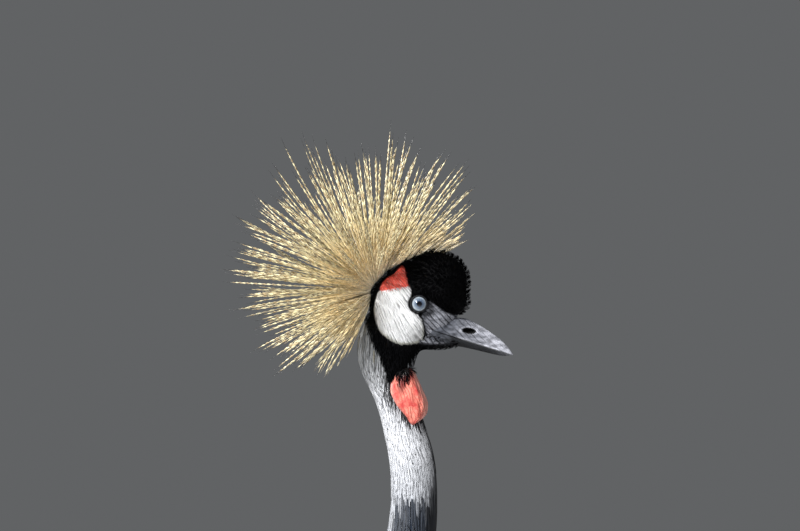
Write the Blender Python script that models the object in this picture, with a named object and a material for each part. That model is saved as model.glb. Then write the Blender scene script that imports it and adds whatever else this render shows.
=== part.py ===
"""A grey crowned crane, life size, standing still on both feet with its neck raised in a loose S.

Metres, +Z up. The bird faces +X with its right side towards -Y, and stands on the plane z = 0.
Every place on the bird is worked out from the named sizes below, in a frame whose x = 0 lies near the feet.
"""

import math
import random

import bmesh
import bpy
import numpy as np
from mathutils import Matrix, Vector
from mathutils.bvhtree import BVHTree

# Heights and lengths that drive the whole bird.
MM = 0.001
GAP = 0.0003  # left between pieces that touch
EYE_X = 0.170
EYE_Z = 0.939

# The flesh: how finely it is skinned, and how much its joins are eased.
SKIN_GRAIN = 0.0022
SKIN_EASING = 6

# The bill, in its own frame: along it from the gape, and up from the line of the mouth.
GAPE_FORWARD, GAPE_UP = 8.7, -22.9
BILL_DROOP = math.radians(17.3)

# The legs.
STANCE = 0.046
FOOT_X = -0.040
HOCK_Z = 0.222
THIGH_END_Z = 0.338
THIGH_CUT_Z = 0.430

COLOURS = {
    "velvet black": (0.012, 0.012, 0.014),
    "horn grey": (0.10, 0.105, 0.115),
    "iris grey": (0.45, 0.52, 0.60),
    "wattle red": (0.62, 0.10, 0.07),
    "straw gold": (0.72, 0.57, 0.28),
    "neck grey": (0.52, 0.54, 0.58),
    "body grey": (0.23, 0.25, 0.28),
    "covert white": (0.80, 0.79, 0.74),
    "tail black": (0.02, 0.02, 0.025),
    "leg black": (0.035, 0.035, 0.04),
}


def clear_scene():
    for obj in list(bpy.data.objects):
        bpy.data.objects.remove(obj)


def finish_of(colour, roughness):
    """The material of that colour, made once."""
    found = bpy.data.materials.get(colour)
    if found:
        return found
    made = bpy.data.materials.new(colour)
    made.use_nodes = True
    shader = made.node_tree.nodes["Principled BSDF"]
    shader.inputs["Base Color"].default_value = (*COLOURS[colour], 1.0)
    shader.inputs["Roughness"].default_value = roughness
    shader.inputs["Metallic"].default_value = 0.0
    return made


def new_object(name, vertices, faces):
    mesh = bpy.data.meshes.new(name)
    mesh.from_pydata([tuple(v) for v in vertices], [], faces)
    mesh.validate()
    obj = bpy.data.objects.new(name, mesh)
    bpy.context.scene.collection.objects.link(obj)
    return obj


def dress(obj, colour, roughness=0.6):
    obj.data.materials.clear()
    obj.data.materials.append(finish_of(colour, roughness))
    obj.data.shade_smooth()
    obj.data.set_sharp_from_angle(angle=math.radians(40))
    return obj


def apply_modifiers(obj):
    graph = bpy.context.evaluated_depsgraph_get()
    mesh = bpy.data.meshes.new_from_object(obj.evaluated_get(graph))
    obj.modifiers.clear()
    obj.data = mesh


def keep_largest(obj):
    """Leaves only the closed surface with the most volume, and splits its faces into triangles."""
    shape = bmesh.new()
    shape.from_mesh(obj.data)
    bmesh.ops.triangulate(shape, faces=shape.faces)
    shape.faces.ensure_lookup_table()
    unseen = set(range(len(shape.faces)))
    islands = []
    while unseen:
        edge_of_island = [unseen.pop()]
        island = set(edge_of_island)
        while edge_of_island:
            face = shape.faces[edge_of_island.pop()]
            for edge in face.edges:
                for other in edge.link_faces:
                    if other.index in unseen:
                        unseen.discard(other.index)
                        island.add(other.index)
                        edge_of_island.append(other.index)
        islands.append(island)

    def volume(island):
        corners = [[v.co for v in shape.faces[i].verts] for i in island]
        return abs(sum(a.dot(b.cross(c)) for a, b, c in corners))

    islands.sort(key=volume)
    scraps = [shape.faces[i] for island in islands[:-1] for i in island]
    bmesh.ops.delete(shape, geom=scraps, context="FACES")
    shape.to_mesh(obj.data)
    shape.free()


def grown_copy(obj, gap=GAP):
    """A copy of obj whose surface lies one gap further out."""
    copy = bpy.data.objects.new(obj.name + "_room", obj.data.copy())
    bpy.context.scene.collection.objects.link(copy)
    shape = bmesh.new()
    shape.from_mesh(copy.data)
    shape.normal_update()
    for vertex in shape.verts:
        vertex.co += vertex.normal * gap * vertex.calc_shell_factor()
    shape.to_mesh(copy.data)
    shape.free()
    return copy


def combine(base, others, operation):
    """Joins the closed meshes of others to base, or cuts them from it, and removes them."""
    group = bpy.data.collections.new(base.name + "_group")
    for other in others:
        group.objects.link(other)
    step = base.modifiers.new("combine", "BOOLEAN")
    step.operation = operation
    step.operand_type = "COLLECTION"
    step.collection = group
    step.solver = "EXACT"
    apply_modifiers(base)
    for other in others:
        bpy.data.objects.remove(other)
    bpy.data.collections.remove(group)
    keep_largest(base)
    return base


def cut_clear(obj, *neighbours):
    """Cuts obj back so that it meets each neighbour face to face, one gap away."""
    return combine(obj, [grown_copy(n) for n in neighbours], "DIFFERENCE")


def half_of(obj, name, point, normal):
    """A new closed object: what of obj lies on the side of the plane that the normal points to."""
    shape = bmesh.new()
    shape.from_mesh(obj.data)
    geometry = shape.verts[:] + shape.edges[:] + shape.faces[:]
    cut = bmesh.ops.bisect_plane(shape, geom=geometry, plane_co=point, plane_no=normal, clear_inner=True)
    rim = [e for e in cut["geom_cut"] if isinstance(e, bmesh.types.BMEdge)]
    bmesh.ops.triangle_fill(shape, use_beauty=True, edges=rim, normal=-Vector(normal))
    bmesh.ops.recalc_face_normals(shape, faces=shape.faces)
    mesh = bpy.data.meshes.new(name)
    shape.to_mesh(mesh)
    shape.free()
    made = bpy.data.objects.new(name, mesh)
    bpy.context.scene.collection.objects.link(made)
    return made


def slice_between(obj, name, *planes):
    """A closed piece of obj inside every plane, each a point and an inward normal, less half a gap."""
    piece = obj
    for point, normal in planes:
        inward = Vector(normal).normalized()
        cut = half_of(piece, name, Vector(point) + inward * GAP / 2, inward)
        if piece is not obj:
            bpy.data.objects.remove(piece)
        piece = cut
    piece.name = name
    keep_largest(piece)
    return piece


def surface_of(obj):
    """The surface of a mesh, for finding what of it lies nearest to a place."""
    places = [vertex.co.copy() for vertex in obj.data.vertices]
    return BVHTree.FromPolygons(places, [tuple(face.vertices) for face in obj.data.polygons])


def height_over(surface, place):
    """How far a place lies outside a closed surface, negative inside it."""
    nearest, normal, _, distance = surface.find_nearest(place)
    return math.copysign(distance, (place - nearest).dot(normal))


def facing_out(obj):
    """Turns the faces outward and splits them into triangles."""
    shape = bmesh.new()
    shape.from_mesh(obj.data)
    bmesh.ops.recalc_face_normals(shape, faces=shape.faces)
    bmesh.ops.triangulate(shape, faces=shape.faces)
    shape.to_mesh(obj.data)
    shape.free()
    return obj


def spine(name, places, radii, sides=3):
    """A thin spike through the places, whose last one is its point."""
    root, tip = places[0], places[-1]
    along = (tip - root).normalized()
    across = along.orthogonal().normalized()
    over = along.cross(across)
    turns = [math.tau * k / sides for k in range(sides)]
    vertices = [
        place + radius * (across * math.cos(a) + over * math.sin(a))
        for place, radius in zip(places[:-1], radii) for a in turns
    ]
    vertices.append(tip)
    faces = [tuple(range(sides))]
    for ring in range(len(places) - 2):
        for k in range(sides):
            a, b = ring * sides + k, ring * sides + (k + 1) % sides
            faces += [(a, b, b + sides), (a, b + sides, a + sides)]
    last = len(vertices) - 1 - sides
    faces += [(last + k, last + (k + 1) % sides, len(vertices) - 1) for k in range(sides)]
    return facing_out(new_object(name, vertices, faces))


def vane(name, sections, tip):
    """A thin feather that ends in a point.

    Each section is one edge, the middle of the upper face, the other edge and the middle of the lower face.
    Both faces are split into triangles alike, so that they never cross where the feather curves.
    """
    vertices = [corner for section in sections for corner in section] + [tip]
    faces = [(0, 1, 3), (2, 3, 1)]
    for ring in range(0, 4 * (len(sections) - 1), 4):
        for edge, middle in ((ring, ring + 1), (ring, ring + 3), (ring + 2, ring + 1), (ring + 2, ring + 3)):
            faces += [(edge, middle, middle + 4), (edge, middle + 4, edge + 4)]
    last = len(vertices) - 5
    faces += [(last + k, last + (k + 1) % 4, len(vertices) - 1) for k in range(4)]
    return facing_out(new_object(name, vertices, faces))


def eased(rows, steps):
    """Rows of numbers along a smooth curve through the given rows, with that many steps between two."""
    rows = [np.array(row, float) for row in rows]
    ends = [2 * rows[0] - rows[1], *rows, 2 * rows[-1] - rows[-2]]
    found = []
    for before, start, end, after in zip(ends, ends[1:], ends[2:], ends[3:]):
        for step in range(steps):
            t = step / steps
            found.append(
                0.5 * (2 * start + (end - before) * t
                       + (2 * before - 5 * start + 4 * end - after) * t**2
                       + (3 * start - before - 3 * end + after) * t**3)
            )
    return [row.tolist() for row in [*found, rows[-1]]]


def tube_of(name, rings):
    """A closed surface through rings of equally many points, with a flat cap at each end."""
    count = len(rings[0])
    vertices = [point for ring in rings for point in ring]
    faces = []
    for ring in range(len(rings) - 1):
        for k in range(count):
            a, b = ring * count + k, ring * count + (k + 1) % count
            faces.append((a, b, b + count, a + count))
    faces.append(tuple(reversed(range(count))))
    faces.append(tuple(range(len(vertices) - count, len(vertices))))
    return facing_out(new_object(name, vertices, faces))


def rounded(angle, power):
    """Cosine and sine of the angle, squared off for a power over 2."""
    c, s = math.cos(angle), math.sin(angle)
    return (math.copysign(abs(c) ** (2 / power), c), math.copysign(abs(s) ** (2 / power), s))


def mid_loft(name, rows, steps=3, sides=20, power=2.0):
    """A body of revolution-like rings along a line in the bird's mid-plane.

    Each row is x, z, half the width, and how far the surface lies above and below the line.
    """
    rows = eased(rows, steps)
    rings = []
    for i, (x, z, width, above, below) in enumerate(rows):
        last, following = rows[max(i - 1, 0)], rows[min(i + 1, len(rows) - 1)]
        along = Vector((following[0] - last[0], 0, following[1] - last[1])).normalized()
        up = Vector((-along.z, 0, along.x))
        ring = []
        for k in range(sides):
            c, s = rounded(math.tau * k / sides, power)
            reach = above if s > 0 else below
            ring.append(Vector((x, width * c, z)) + up * reach * s)
        rings.append(ring)
    return tube_of(name, rings)


def limb(name, rows, steps=3, sides=10):
    """A round limb through rows of x, y, z and radius."""
    rows = eased(rows, steps)
    rings = []
    for i, (x, y, z, radius) in enumerate(rows):
        last, following = rows[max(i - 1, 0)], rows[min(i + 1, len(rows) - 1)]
        along = (Vector(following[:3]) - Vector(last[:3])).normalized()
        side = along.cross(Vector((0, 0, 1)) if abs(along.z) < 0.8 else Vector((1, 0, 0))).normalized()
        up = side.cross(along)
        rings.append(
            [Vector((x, y, z)) + radius * (side * math.cos(a) + up * math.sin(a))
             for a in (math.tau * k / sides for k in range(sides))]
        )
    return tube_of(name, rings)


def egg(name, centre, radii, tilt=0.0, rings=16, sides=24):
    """An ellipsoid, tilted nose down by that angle. Radii run forward, sideways and up."""
    bpy.ops.mesh.primitive_uv_sphere_add(segments=sides, ring_count=rings, radius=1.0)
    made = bpy.context.object
    made.name = name
    made.data.transform(
        Matrix.Translation(centre) @ Matrix.Rotation(tilt, 4, "Y") @ Matrix.Diagonal((*radii, 1.0))
    )
    return made


def at_head(forward, up, side=0.0):
    """A place on the head, in millimetres forward of, above and beside the middle between the eyes."""
    return Vector((EYE_X + forward * MM, side * MM, EYE_Z + up * MM))


def at_bill(along, up, side=0.0):
    """A place on the bill, in millimetres along it from the gape and up from the line of the mouth."""
    c, s = math.cos(BILL_DROOP), math.sin(BILL_DROOP)
    return at_head(GAPE_FORWARD + along * c + up * s, GAPE_UP - along * s + up * c, side)


def head_egg(name, centre, radii, tilt_deg=0.0):
    """An ellipsoid of the head, sized in millimetres: forward, sideways and up."""
    forward, up, *side = centre
    return egg(name, at_head(forward, up, *side), [r * MM for r in radii], math.radians(tilt_deg))


def head_forms():
    """The rounded masses that the head is made of."""
    forms = [
        head_egg("skull", (-15, 1), (30, 20, 30.5)),
        head_egg("cushion", (14.5, 19.5), (31.5, 17.5, 29)),
        head_egg("forelock", (31.5, 3.5), (14.5, 11, 15)),
        head_egg("lores", (10, -14), (24, 13, 17)),
        head_egg("chin", (8, -31), (30, 9.5, 11), 8),
    ]
    for side in (-1, 1):
        forms.append(head_egg("cheek", (-15, -15, 5 * side), (25, 15.5, 24)))
    return forms


def neck_form():
    """The neck from inside the head down into the chest."""
    rows = [
        # millimetres from the eye: forward, up, half width, back of the neck, front of the neck
        (-20, -6, 15, 20, 18),
        (-26, -32, 19.5, 30, 27),
        (-28.5, -52, 19, 27.5, 26),
        (-26, -70, 18, 21.7, 21.7),
        (-21, -85, 17.5, 19.5, 19.5),
        (-12.5, -114, 18.5, 20.6, 20.6),
        (-5.5, -145, 20, 22.2, 22.2),
        (-4.3, -185, 21, 22.8, 22.8),
        (-9, -220, 22.5, 25, 25),
        (-22, -258, 27, 31, 31),
        (-46, -296, 38, 43, 42),
        (-80, -332, 52, 60, 54),
        (-112, -356, 58, 66, 58),
    ]
    places = [
        (EYE_X + f * MM, EYE_Z + u * MM, w * MM, front * MM, back * MM) for f, u, w, back, front in rows
    ]
    return mid_loft("neck_form", places, steps=3, sides=24)


def torso_form():
    rows = [
        # x, z, half width, above the line, below the line
        (0.150, 0.556, 0.014, 0.014, 0.014),
        (0.137, 0.558, 0.046, 0.044, 0.050),
        (0.090, 0.562, 0.080, 0.072, 0.092),
        (0.010, 0.560, 0.098, 0.088, 0.114),
        (-0.070, 0.551, 0.097, 0.088, 0.104),
        (-0.150, 0.532, 0.080, 0.070, 0.080),
        (-0.215, 0.508, 0.050, 0.046, 0.050),
        (-0.255, 0.488, 0.022, 0.022, 0.022),
    ]
    return mid_loft("torso_form", rows, steps=4, sides=32)


def thigh_form(side):
    rows = [
        # x, y, z, radius
        (FOOT_X + 0.044, 0.040 * side, 0.548, 0.012),
        (FOOT_X + 0.042, 0.041 * side, 0.538, 0.034),
        (FOOT_X + 0.036, 0.043 * side, 0.505, 0.045),
        (FOOT_X + 0.028, 0.045 * side, 0.460, 0.041),
        (FOOT_X + 0.017, 0.046 * side, 0.410, 0.030),
        (FOOT_X + 0.006, 0.046 * side, 0.370, 0.020),
        (FOOT_X - 0.001, 0.046 * side, THIGH_END_Z, 0.0125),
    ]
    return limb("thigh_form", rows, steps=4, sides=20)


def blended(name, forms):
    """One closed skin round forms that overlap, with the joins between them eased."""
    base = forms[0]
    with bpy.context.temp_override(active_object=base, selected_editable_objects=forms):
        bpy.ops.object.join()
    base.name = name
    skin = base.modifiers.new("skin", "REMESH")
    skin.mode = "VOXEL"
    skin.voxel_size = SKIN_GRAIN
    ease = base.modifiers.new("ease", "SMOOTH")
    ease.iterations = SKIN_EASING
    ease.factor = 0.5
    apply_modifiers(base)
    return base


def thinned(obj, triangles):
    """Keeps about that many triangles, most of them where the surface bends most."""
    obj.data.calc_loop_triangles()
    now = len(obj.data.loop_triangles)
    if now > triangles:
        thin = obj.modifiers.new("thin", "DECIMATE")
        thin.ratio = triangles / now
        thin.use_symmetry = False
        apply_modifiers(obj)
    keep_largest(obj)
    return obj


FLESH_FINISH = {
    # triangles kept, colour, roughness
    "head": (1420, "velvet black", 0.9),
    "neck_upper": (310, "neck grey", 0.8),
    "neck_lower": (250, "neck grey", 0.8),
    "torso": (760, "body grey", 0.8),
    "thigh_right": (150, "body grey", 0.8),
    "thigh_left": (150, "body grey", 0.8),
}


def make_flesh():
    """The head, neck, torso and feathered thighs, modelled whole and parted with thin cuts."""
    flesh = blended(
        "flesh", [*head_forms(), neck_form(), torso_form(), thigh_form(-1), thigh_form(1)]
    )
    throat = (at_head(-28, -55), Vector((0.10, 0, 1.0)))
    mid_neck = (at_head(-5, -150), Vector((-0.10, 0, 1.0)))
    neck_root = (at_head(-36, -283), Vector((0.60, 0, 1.0)))
    belly = (Vector((0, 0, THIGH_CUT_Z)), Vector((0, 0, 1)))

    def below(plane):
        return (plane[0], -plane[1])

    parts = {
        "head": slice_between(flesh, "head", throat),
        "neck_upper": slice_between(flesh, "neck_upper", below(throat), mid_neck),
        "neck_lower": slice_between(flesh, "neck_lower", below(mid_neck), neck_root),
        "torso": slice_between(flesh, "torso", below(neck_root), belly),
        "thigh_right": slice_between(flesh, "thigh_right", below(belly), (Vector(), Vector((0, -1, 0)))),
        "thigh_left": slice_between(flesh, "thigh_left", below(belly), (Vector(), Vector((0, 1, 0)))),
    }
    bpy.data.objects.remove(flesh)
    for name, part in parts.items():
        triangles, colour, roughness = FLESH_FINISH[name]
        dress(thinned(part, triangles), colour, roughness)
    return parts


EYE_RADIUS = 9.2
EYE_SIDE = 12.0
LID_RADIUS, LID_THICKNESS = 7.0, 1.5
LID_SIDE = EYE_SIDE + 5.9


def make_eyes(head):
    """Two eyeballs in sockets, each with a raised ring of lid round it."""
    eyes = []
    for side, name in ((-1, "eye_right"), (1, "eye_left")):
        turn = Matrix.Rotation(math.radians(90), 4, "X")
        eye = egg(name, Vector(), [EYE_RADIUS * MM] * 3, rings=8, sides=12)
        eye.data.transform(Matrix.Translation(at_head(0, 0, EYE_SIDE * side)) @ turn)
        bpy.ops.mesh.primitive_torus_add(
            major_segments=18, minor_segments=5,
            major_radius=LID_RADIUS * MM, minor_radius=LID_THICKNESS * MM,
        )
        lid = bpy.context.object
        lid.data.transform(Matrix.Translation(at_head(0, 0, LID_SIDE * side)) @ turn)
        combine(head, [lid], "UNION")
        cut_clear(head, eye)
        eyes.append(dress(eye, "iris grey", 0.1))
    return eyes


def bill_ring(along, low, high, half_width, sides, arched_up):
    """A section of one half of the bill: an arch over a flat mouth line."""
    ring = []
    for k in range(sides):
        angle = math.pi * k / (sides - 1)
        c, s = rounded(angle, 1.8)
        up = low + (high - low) * s if arched_up else high - (high - low) * s
        ring.append(at_bill(along, up, half_width * c))
    return ring


NOSTRIL_PLACE = (35.5, 9.6, 8.6)  # along the bill, above the line of the mouth, out to the side
NOSTRIL_RADII = (5.6, 3.4, 2.2)
NOSTRIL_TILT = BILL_DROOP - math.radians(8)
GAPE_PLACE = (8, 0, 10.8)
GAPE_SIZE = (18, 3, 0.7)
GAPE_FLARE = math.radians(9)


def make_bill(head):
    """The two halves of the bill, with a slit of nostril through the side of the upper one."""
    upper_rows = [
        # along, top, half width
        (10, 16.0, 10.0), (22, 18.2, 9.2), (30, 19.4, 8.3), (38, 18.0, 7.2),
        (51, 15.0, 5.9), (65, 10.2, 4.3), (74, 5.3, 2.9), (79.6, 0.9, 0.9),
    ]
    lower_rows = [
        # along, bottom, half width
        (10, -12.0, 9.2), (20, -9.2, 8.6), (32, -6.6, 7.2), (44, -5.4, 6.0),
        (57, -4.5, 4.7), (69, -3.4, 3.1), (76.5, -1.2, 1.0),
    ]
    half_gap = GAP / 2 / MM
    upper = tube_of(
        "bill_upper",
        [bill_ring(a, half_gap, top, w, 9, True) for a, top, w in eased(upper_rows, 2)],
    )
    lower = tube_of(
        "bill_lower",
        [bill_ring(a, bottom, -half_gap, w, 7, False) for a, bottom, w in eased(lower_rows, 2)],
    )
    nostrils = []
    for side in (-1, 1):
        along, up, out = NOSTRIL_PLACE
        middle = at_bill(along, up, out * side)
        radii = [radius * MM for radius in NOSTRIL_RADII]
        nostrils.append(egg("nostril", middle, radii, NOSTRIL_TILT, rings=6, sides=10))
    combine(upper, nostrils, "DIFFERENCE")
    for side in (-1, 1):
        along, up, out = GAPE_PLACE
        bpy.ops.mesh.primitive_cube_add(size=1)
        line = bpy.context.object
        line.data.transform(
            Matrix.Translation(at_bill(along, up, out * side))
            @ Matrix.Rotation(BILL_DROOP, 4, "Y") @ Matrix.Rotation(GAPE_FLARE * side, 4, "Z")
            @ Matrix.Diagonal((*[size * MM for size in GAPE_SIZE], 1))
        )
        combine(head, [line], "DIFFERENCE")
    cut_clear(upper, head)
    cut_clear(lower, head)
    return [dress(upper, "horn grey", 0.4), dress(lower, "horn grey", 0.4)]


def make_wattle(head, neck):
    """The red pouch that wraps the front of the throat, a lobe with shallow folds to each side."""
    rows = [
        # up, middle forward, reach in front of it, reach behind it, half width
        (-58, -12.6, 6, 7, 13), (-62, -12.6, 11, 13, 18), (-70, -11.5, 14.5, 17.5, 20.8),
        (-80, -10.5, 16.5, 20, 21.6), (-90, -8.5, 16.5, 19.8, 21.6), (-97, -6.7, 13.8, 16.5, 19.5),
        (-103, -4.5, 9.0, 10.5, 15), (-107.7, -3.4, 3.2, 3.4, 6.5),
    ]
    sides = 16
    rings = []
    for up, middle, front, back, width in rows:
        ring = []
        for k in range(sides):
            c, s = rounded(math.tau * k / sides, 3.6)
            fold = 1 - 0.035 * (k % 2)
            ring.append(at_head(middle + (front if c > 0 else back) * c, up, width * s * fold))
        rings.append(ring)
    wattle = tube_of("wattle", rings)
    cut_clear(wattle, neck, head)
    return dress(wattle, "wattle red", 0.5)


# The crest: the line along the back of the head that its bristles spring from, the place that they all seem
# to come from, and how far they reach from it at each angle in the mid-plane, in degrees up from forward.
CREST_LINE_CENTRE, CREST_LINE_RADIUS = (-15, 0), 31
CREST_LINE_TURN = (97, 196)
CREST_FOCUS = (-38, 12)
CREST_ARC = (24, 246)
CREST_REACH = [(22, 80), (35, 104), (46, 128), (60, 147), (90, 149), (150, 148), (175, 143),
               (190, 131), (208, 127), (223, 111), (240, 88), (248, 64)]
CREST_HALF_SPREAD = 74
CREST_SIDE_SHARE = 0.80
CREST_CORE_SHARE = 0.34
CREST_SPINES = 205
CREST_ROOT_SIDE = 11  # how far to each side its outermost bristles are rooted
BRISTLE_RADII = (0.95 * MM, 0.75 * MM)
BRISTLE_BOW = 2.5 * MM
BRISTLE_CLEARANCE = 1.6 * MM


def crest_root(angle, lateral):
    """Where a bristle leaves the head, for its angle in the mid-plane and its angle out to the side."""
    share = (angle - CREST_ARC[0]) / (CREST_ARC[1] - CREST_ARC[0])
    turn = math.radians(CREST_LINE_TURN[0] + share * (CREST_LINE_TURN[1] - CREST_LINE_TURN[0]))
    return at_head(
        CREST_LINE_CENTRE[0] + CREST_LINE_RADIUS * math.cos(turn),
        CREST_LINE_CENTRE[1] + CREST_LINE_RADIUS * math.sin(turn),
        CREST_ROOT_SIDE * math.sin(math.radians(lateral)),
    )


def crest_tip(angle, lateral):
    """Where that bristle ends."""
    a, b = math.radians(angle), math.radians(lateral)
    reach = float(np.interp(angle, *zip(*CREST_REACH))) * (1 - (1 - CREST_SIDE_SHARE) * math.sin(b) ** 2)
    return at_head(
        CREST_FOCUS[0] + reach * math.cos(b) * math.cos(a),
        CREST_FOCUS[1] + reach * math.cos(b) * math.sin(a),
        reach * math.sin(b),
    )


def crest_spread(angle):
    """How far the crest opens to each side there: it narrows over the forehead and at the nape."""
    share = (angle - CREST_ARC[0]) / (CREST_ARC[1] - CREST_ARC[0])
    return CREST_HALF_SPREAD * min(1.0, 0.35 + 2.2 * math.sin(math.pi * min(max(share, 0.0), 1.0)))


def crest_core():
    """The dense inner part of the crest, well short of half way to the tips."""
    rings = []
    turns = 18
    for step in range(turns + 1):
        angle = CREST_ARC[0] + (CREST_ARC[1] - CREST_ARC[0]) * step / turns
        share = CREST_CORE_SHARE * min(1.0, 0.30 + 3.5 * math.sin(math.pi * step / turns))
        ring = []
        for k in range(11):
            lateral = crest_spread(angle) * (k / 5 - 1)
            ring.append(crest_root(angle, lateral).lerp(crest_tip(angle, lateral), share))
        middle = at_head(*CREST_LINE_CENTRE)
        for side in (8, -8):
            ring.append(crest_root(angle, 0).lerp(middle, 0.35) + Vector((0, side * MM, 0)))
        rings.append(ring)
    return tube_of("crest", rings)


def crest_bristles(head_surface):
    """Straight bristles spread evenly over the crest, each turned back until it clears the head."""
    draw = random.Random(7)
    golden = (math.sqrt(5) - 1) / 2
    bristles = []
    for i in range(CREST_SPINES):
        angle = CREST_ARC[0] + (CREST_ARC[1] - CREST_ARC[0]) * ((i * golden) % 1.0)
        sideways = 2 * (i + 0.5) / CREST_SPINES - 1
        lateral = math.degrees(math.asin(sideways * math.sin(math.radians(crest_spread(angle)))))
        angle += draw.uniform(-3, 3)
        lateral += draw.uniform(-3, 3)
        length = draw.uniform(0.88, 1.03)
        bow = Vector((draw.uniform(-1, 1), draw.uniform(-1, 1), draw.uniform(-1, 1))) * BRISTLE_BOW
        nearest_angle = 50 if lateral < -12 else 24
        angle = max(angle, nearest_angle + draw.uniform(0, 8))
        for _ in range(8):
            root, tip = crest_root(angle, lateral), crest_tip(angle, lateral)
            tip = root.lerp(tip, length)
            free = [root.lerp(tip, share) for share in (0.25, 0.35, 0.5, 0.7)]
            if all(height_over(head_surface, place) > BRISTLE_CLEARANCE for place in free):
                places = [root.lerp(tip, 0.12), root.lerp(tip, 0.58) + bow, tip]
                bristles.append(spine("bristle", places, BRISTLE_RADII))
                break
            angle += 4 if angle < 140 else -4
    return bristles


def make_crest(head, neck):
    """A dense core against the back of the head, with stiff bristles that burst out of it."""
    crest = crest_core()
    combine(crest, crest_bristles(surface_of(head)), "UNION")
    cut_clear(crest, head, neck)
    return dress(crest, "straw gold", 0.7)


def hull_point(station, theta_deg, lift=0.0):
    """A place on the folded wings' surface.

    The station runs 0 at the shoulder to 1 at the wing tips, theta from the middle of the back round the
    side, positive to the left, and lift is how far out it lies.
    """
    rows = [
        # x, z, half width, half height
        (0.118, 0.585, 0.050, 0.042),
        (0.075, 0.580, 0.085, 0.070),
        (0.000, 0.568, 0.105, 0.092),
        (-0.080, 0.553, 0.105, 0.094),
        (-0.160, 0.532, 0.092, 0.084),
        (-0.240, 0.506, 0.072, 0.068),
        (-0.320, 0.474, 0.051, 0.050),
        (-0.400, 0.436, 0.030, 0.032),
    ]
    place = min(max(station, 0.0), 1.0) * (len(rows) - 1)
    first = min(int(place), len(rows) - 2)
    ends = [rows[max(first - 1, 0)], rows[first], rows[first + 1], rows[min(first + 2, len(rows) - 1)]]
    before, start, end, after = [np.array(row) for row in ends]
    t = place - first
    x, z, width, height = (0.5 * (2 * start + (end - before) * t
                                  + (2 * before - 5 * start + 4 * end - after) * t**2
                                  + (3 * start - before - 3 * end + after) * t**3)).tolist()
    slope = (rows[0][1] - rows[-1][1]) / (rows[0][0] - rows[-1][0])
    up = Vector((-slope, 0, 1)).normalized()
    theta = math.radians(theta_deg)
    return Vector((x, 0, z)) + up * (height + lift) * math.cos(theta) + Vector(
        (0, (width + lift) * math.sin(theta), 0)
    )


# The tiers of a folded wing, from the shoulder back. For each: how many feathers, where along the wing they
# start and end, theta of the first and last one, how far they droop, half their width, and their lift.
WING_TIERS = {
    "lesser coverts": (5, 0.07, 0.31, (26, 106), 3, 0.0160, 0.0055),
    "greater coverts": (6, 0.20, 0.47, (22, 112), 4, 0.0165, 0.0065),
    "golden plumes": (7, 0.36, 0.69, (20, 116), 7, 0.0150, 0.0070),
    "tertials": (6, 0.52, 0.91, (15, 98), 3, 0.0185, 0.0065),
    "primaries": (4, 0.66, 1.00, (34, 96), -8, 0.0125, 0.0030),
}
VANE_HALF_DEPTH = 0.0006
VANE_SHAPE = ((0.0, 0.55), (0.45, 1.0), (0.87, 0.78))  # how far along, and the share of the width
STACK = 0.0011  # how much higher each feather's tip lies than the one below it
ROOT_LIFT = -0.0022
ROLL = 0.0008  # how much higher one edge of a feather lies than its middle


def wing_vane(side, start, end, width, lifts, roll):
    """One feather of the wing, from one place on its surface to another, lying over the feather below it."""
    sections = []
    for t, size in VANE_SHAPE:
        station = start[0] + (end[0] - start[0]) * t
        theta = start[1] + (end[1] - start[1]) * t
        lift = lifts[0] + (lifts[1] - lifts[0]) * t
        middle = hull_point(station, side * theta, lift)
        out = (hull_point(station, side * theta, lift + 0.01) - middle).normalized()
        girth = (hull_point(station, theta + 2, lift) - hull_point(station, theta - 2, lift)).length / 4
        reach = min(width * size / girth, 38)
        sections.append([
            hull_point(station, side * (theta - reach), lift - roll * size),
            middle + out * VANE_HALF_DEPTH,
            hull_point(station, side * (theta + reach), lift + roll * size),
            middle - out * VANE_HALF_DEPTH,
        ])
    return vane("feather", sections, hull_point(end[0], side * end[1], lifts[1]))


def wing_core(side):
    """The wing's own body under its feathers."""
    rings = []
    stations = 10
    for i in range(stations):
        share = 0.05 + 0.77 * i / (stations - 1)
        middle = 66 - 10 * share
        spread = 54 * math.sin(math.pi * (i + 1.0) / (stations + 1.4)) ** 0.45
        depth = float(np.interp(share, (0.0, 0.45, 0.82), (0.016, 0.016, 0.004)))
        offsets = [2 * k / 6 - 1 for k in range(7)]
        outer = [(o, 0.0025 * (1 - o**4)) for o in offsets]
        inner = [(o, -depth * (1 - o**6) - 0.001) for o in reversed(offsets)]
        rings.append([hull_point(share, side * (middle + spread * o), lift) for o, lift in outer + inner])
    return tube_of("wing", rings)


def make_wing(side, torso):
    """A folded wing: its body, and its feathers in tiers that overlap like tiles."""
    wing = wing_core(side)
    wing.name = "wing_left" if side > 0 else "wing_right"
    draw = random.Random(31)
    feathers = []
    for count, start, end, (first, last), droop, width, lift in WING_TIERS.values():
        for i in range(count):
            theta = first + (last - first) * i / (count - 1)
            end_theta = theta * (1 - 0.25 * (end - start)) + droop
            length = 1 + draw.uniform(-0.05, 0.03)
            stop = min(start + (end - start) * length, 1.0)
            top = lift + STACK * (count - 1 - i)
            feathers.append(
                wing_vane(side, (start, theta), (stop, end_theta), width, (ROOT_LIFT, top), ROLL)
            )
    combine(wing, feathers, "UNION")
    cut_clear(wing, torso)
    return dress(wing, "covert white", 0.7)


TAIL_ROOT = (-0.205, 0.482)
TAIL_TIP = (-0.418, 0.372)
TAIL_FEATHERS = 9
TAIL_HALF_WIDTH = 0.0150
TAIL_ROLL = 0.0009


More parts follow.
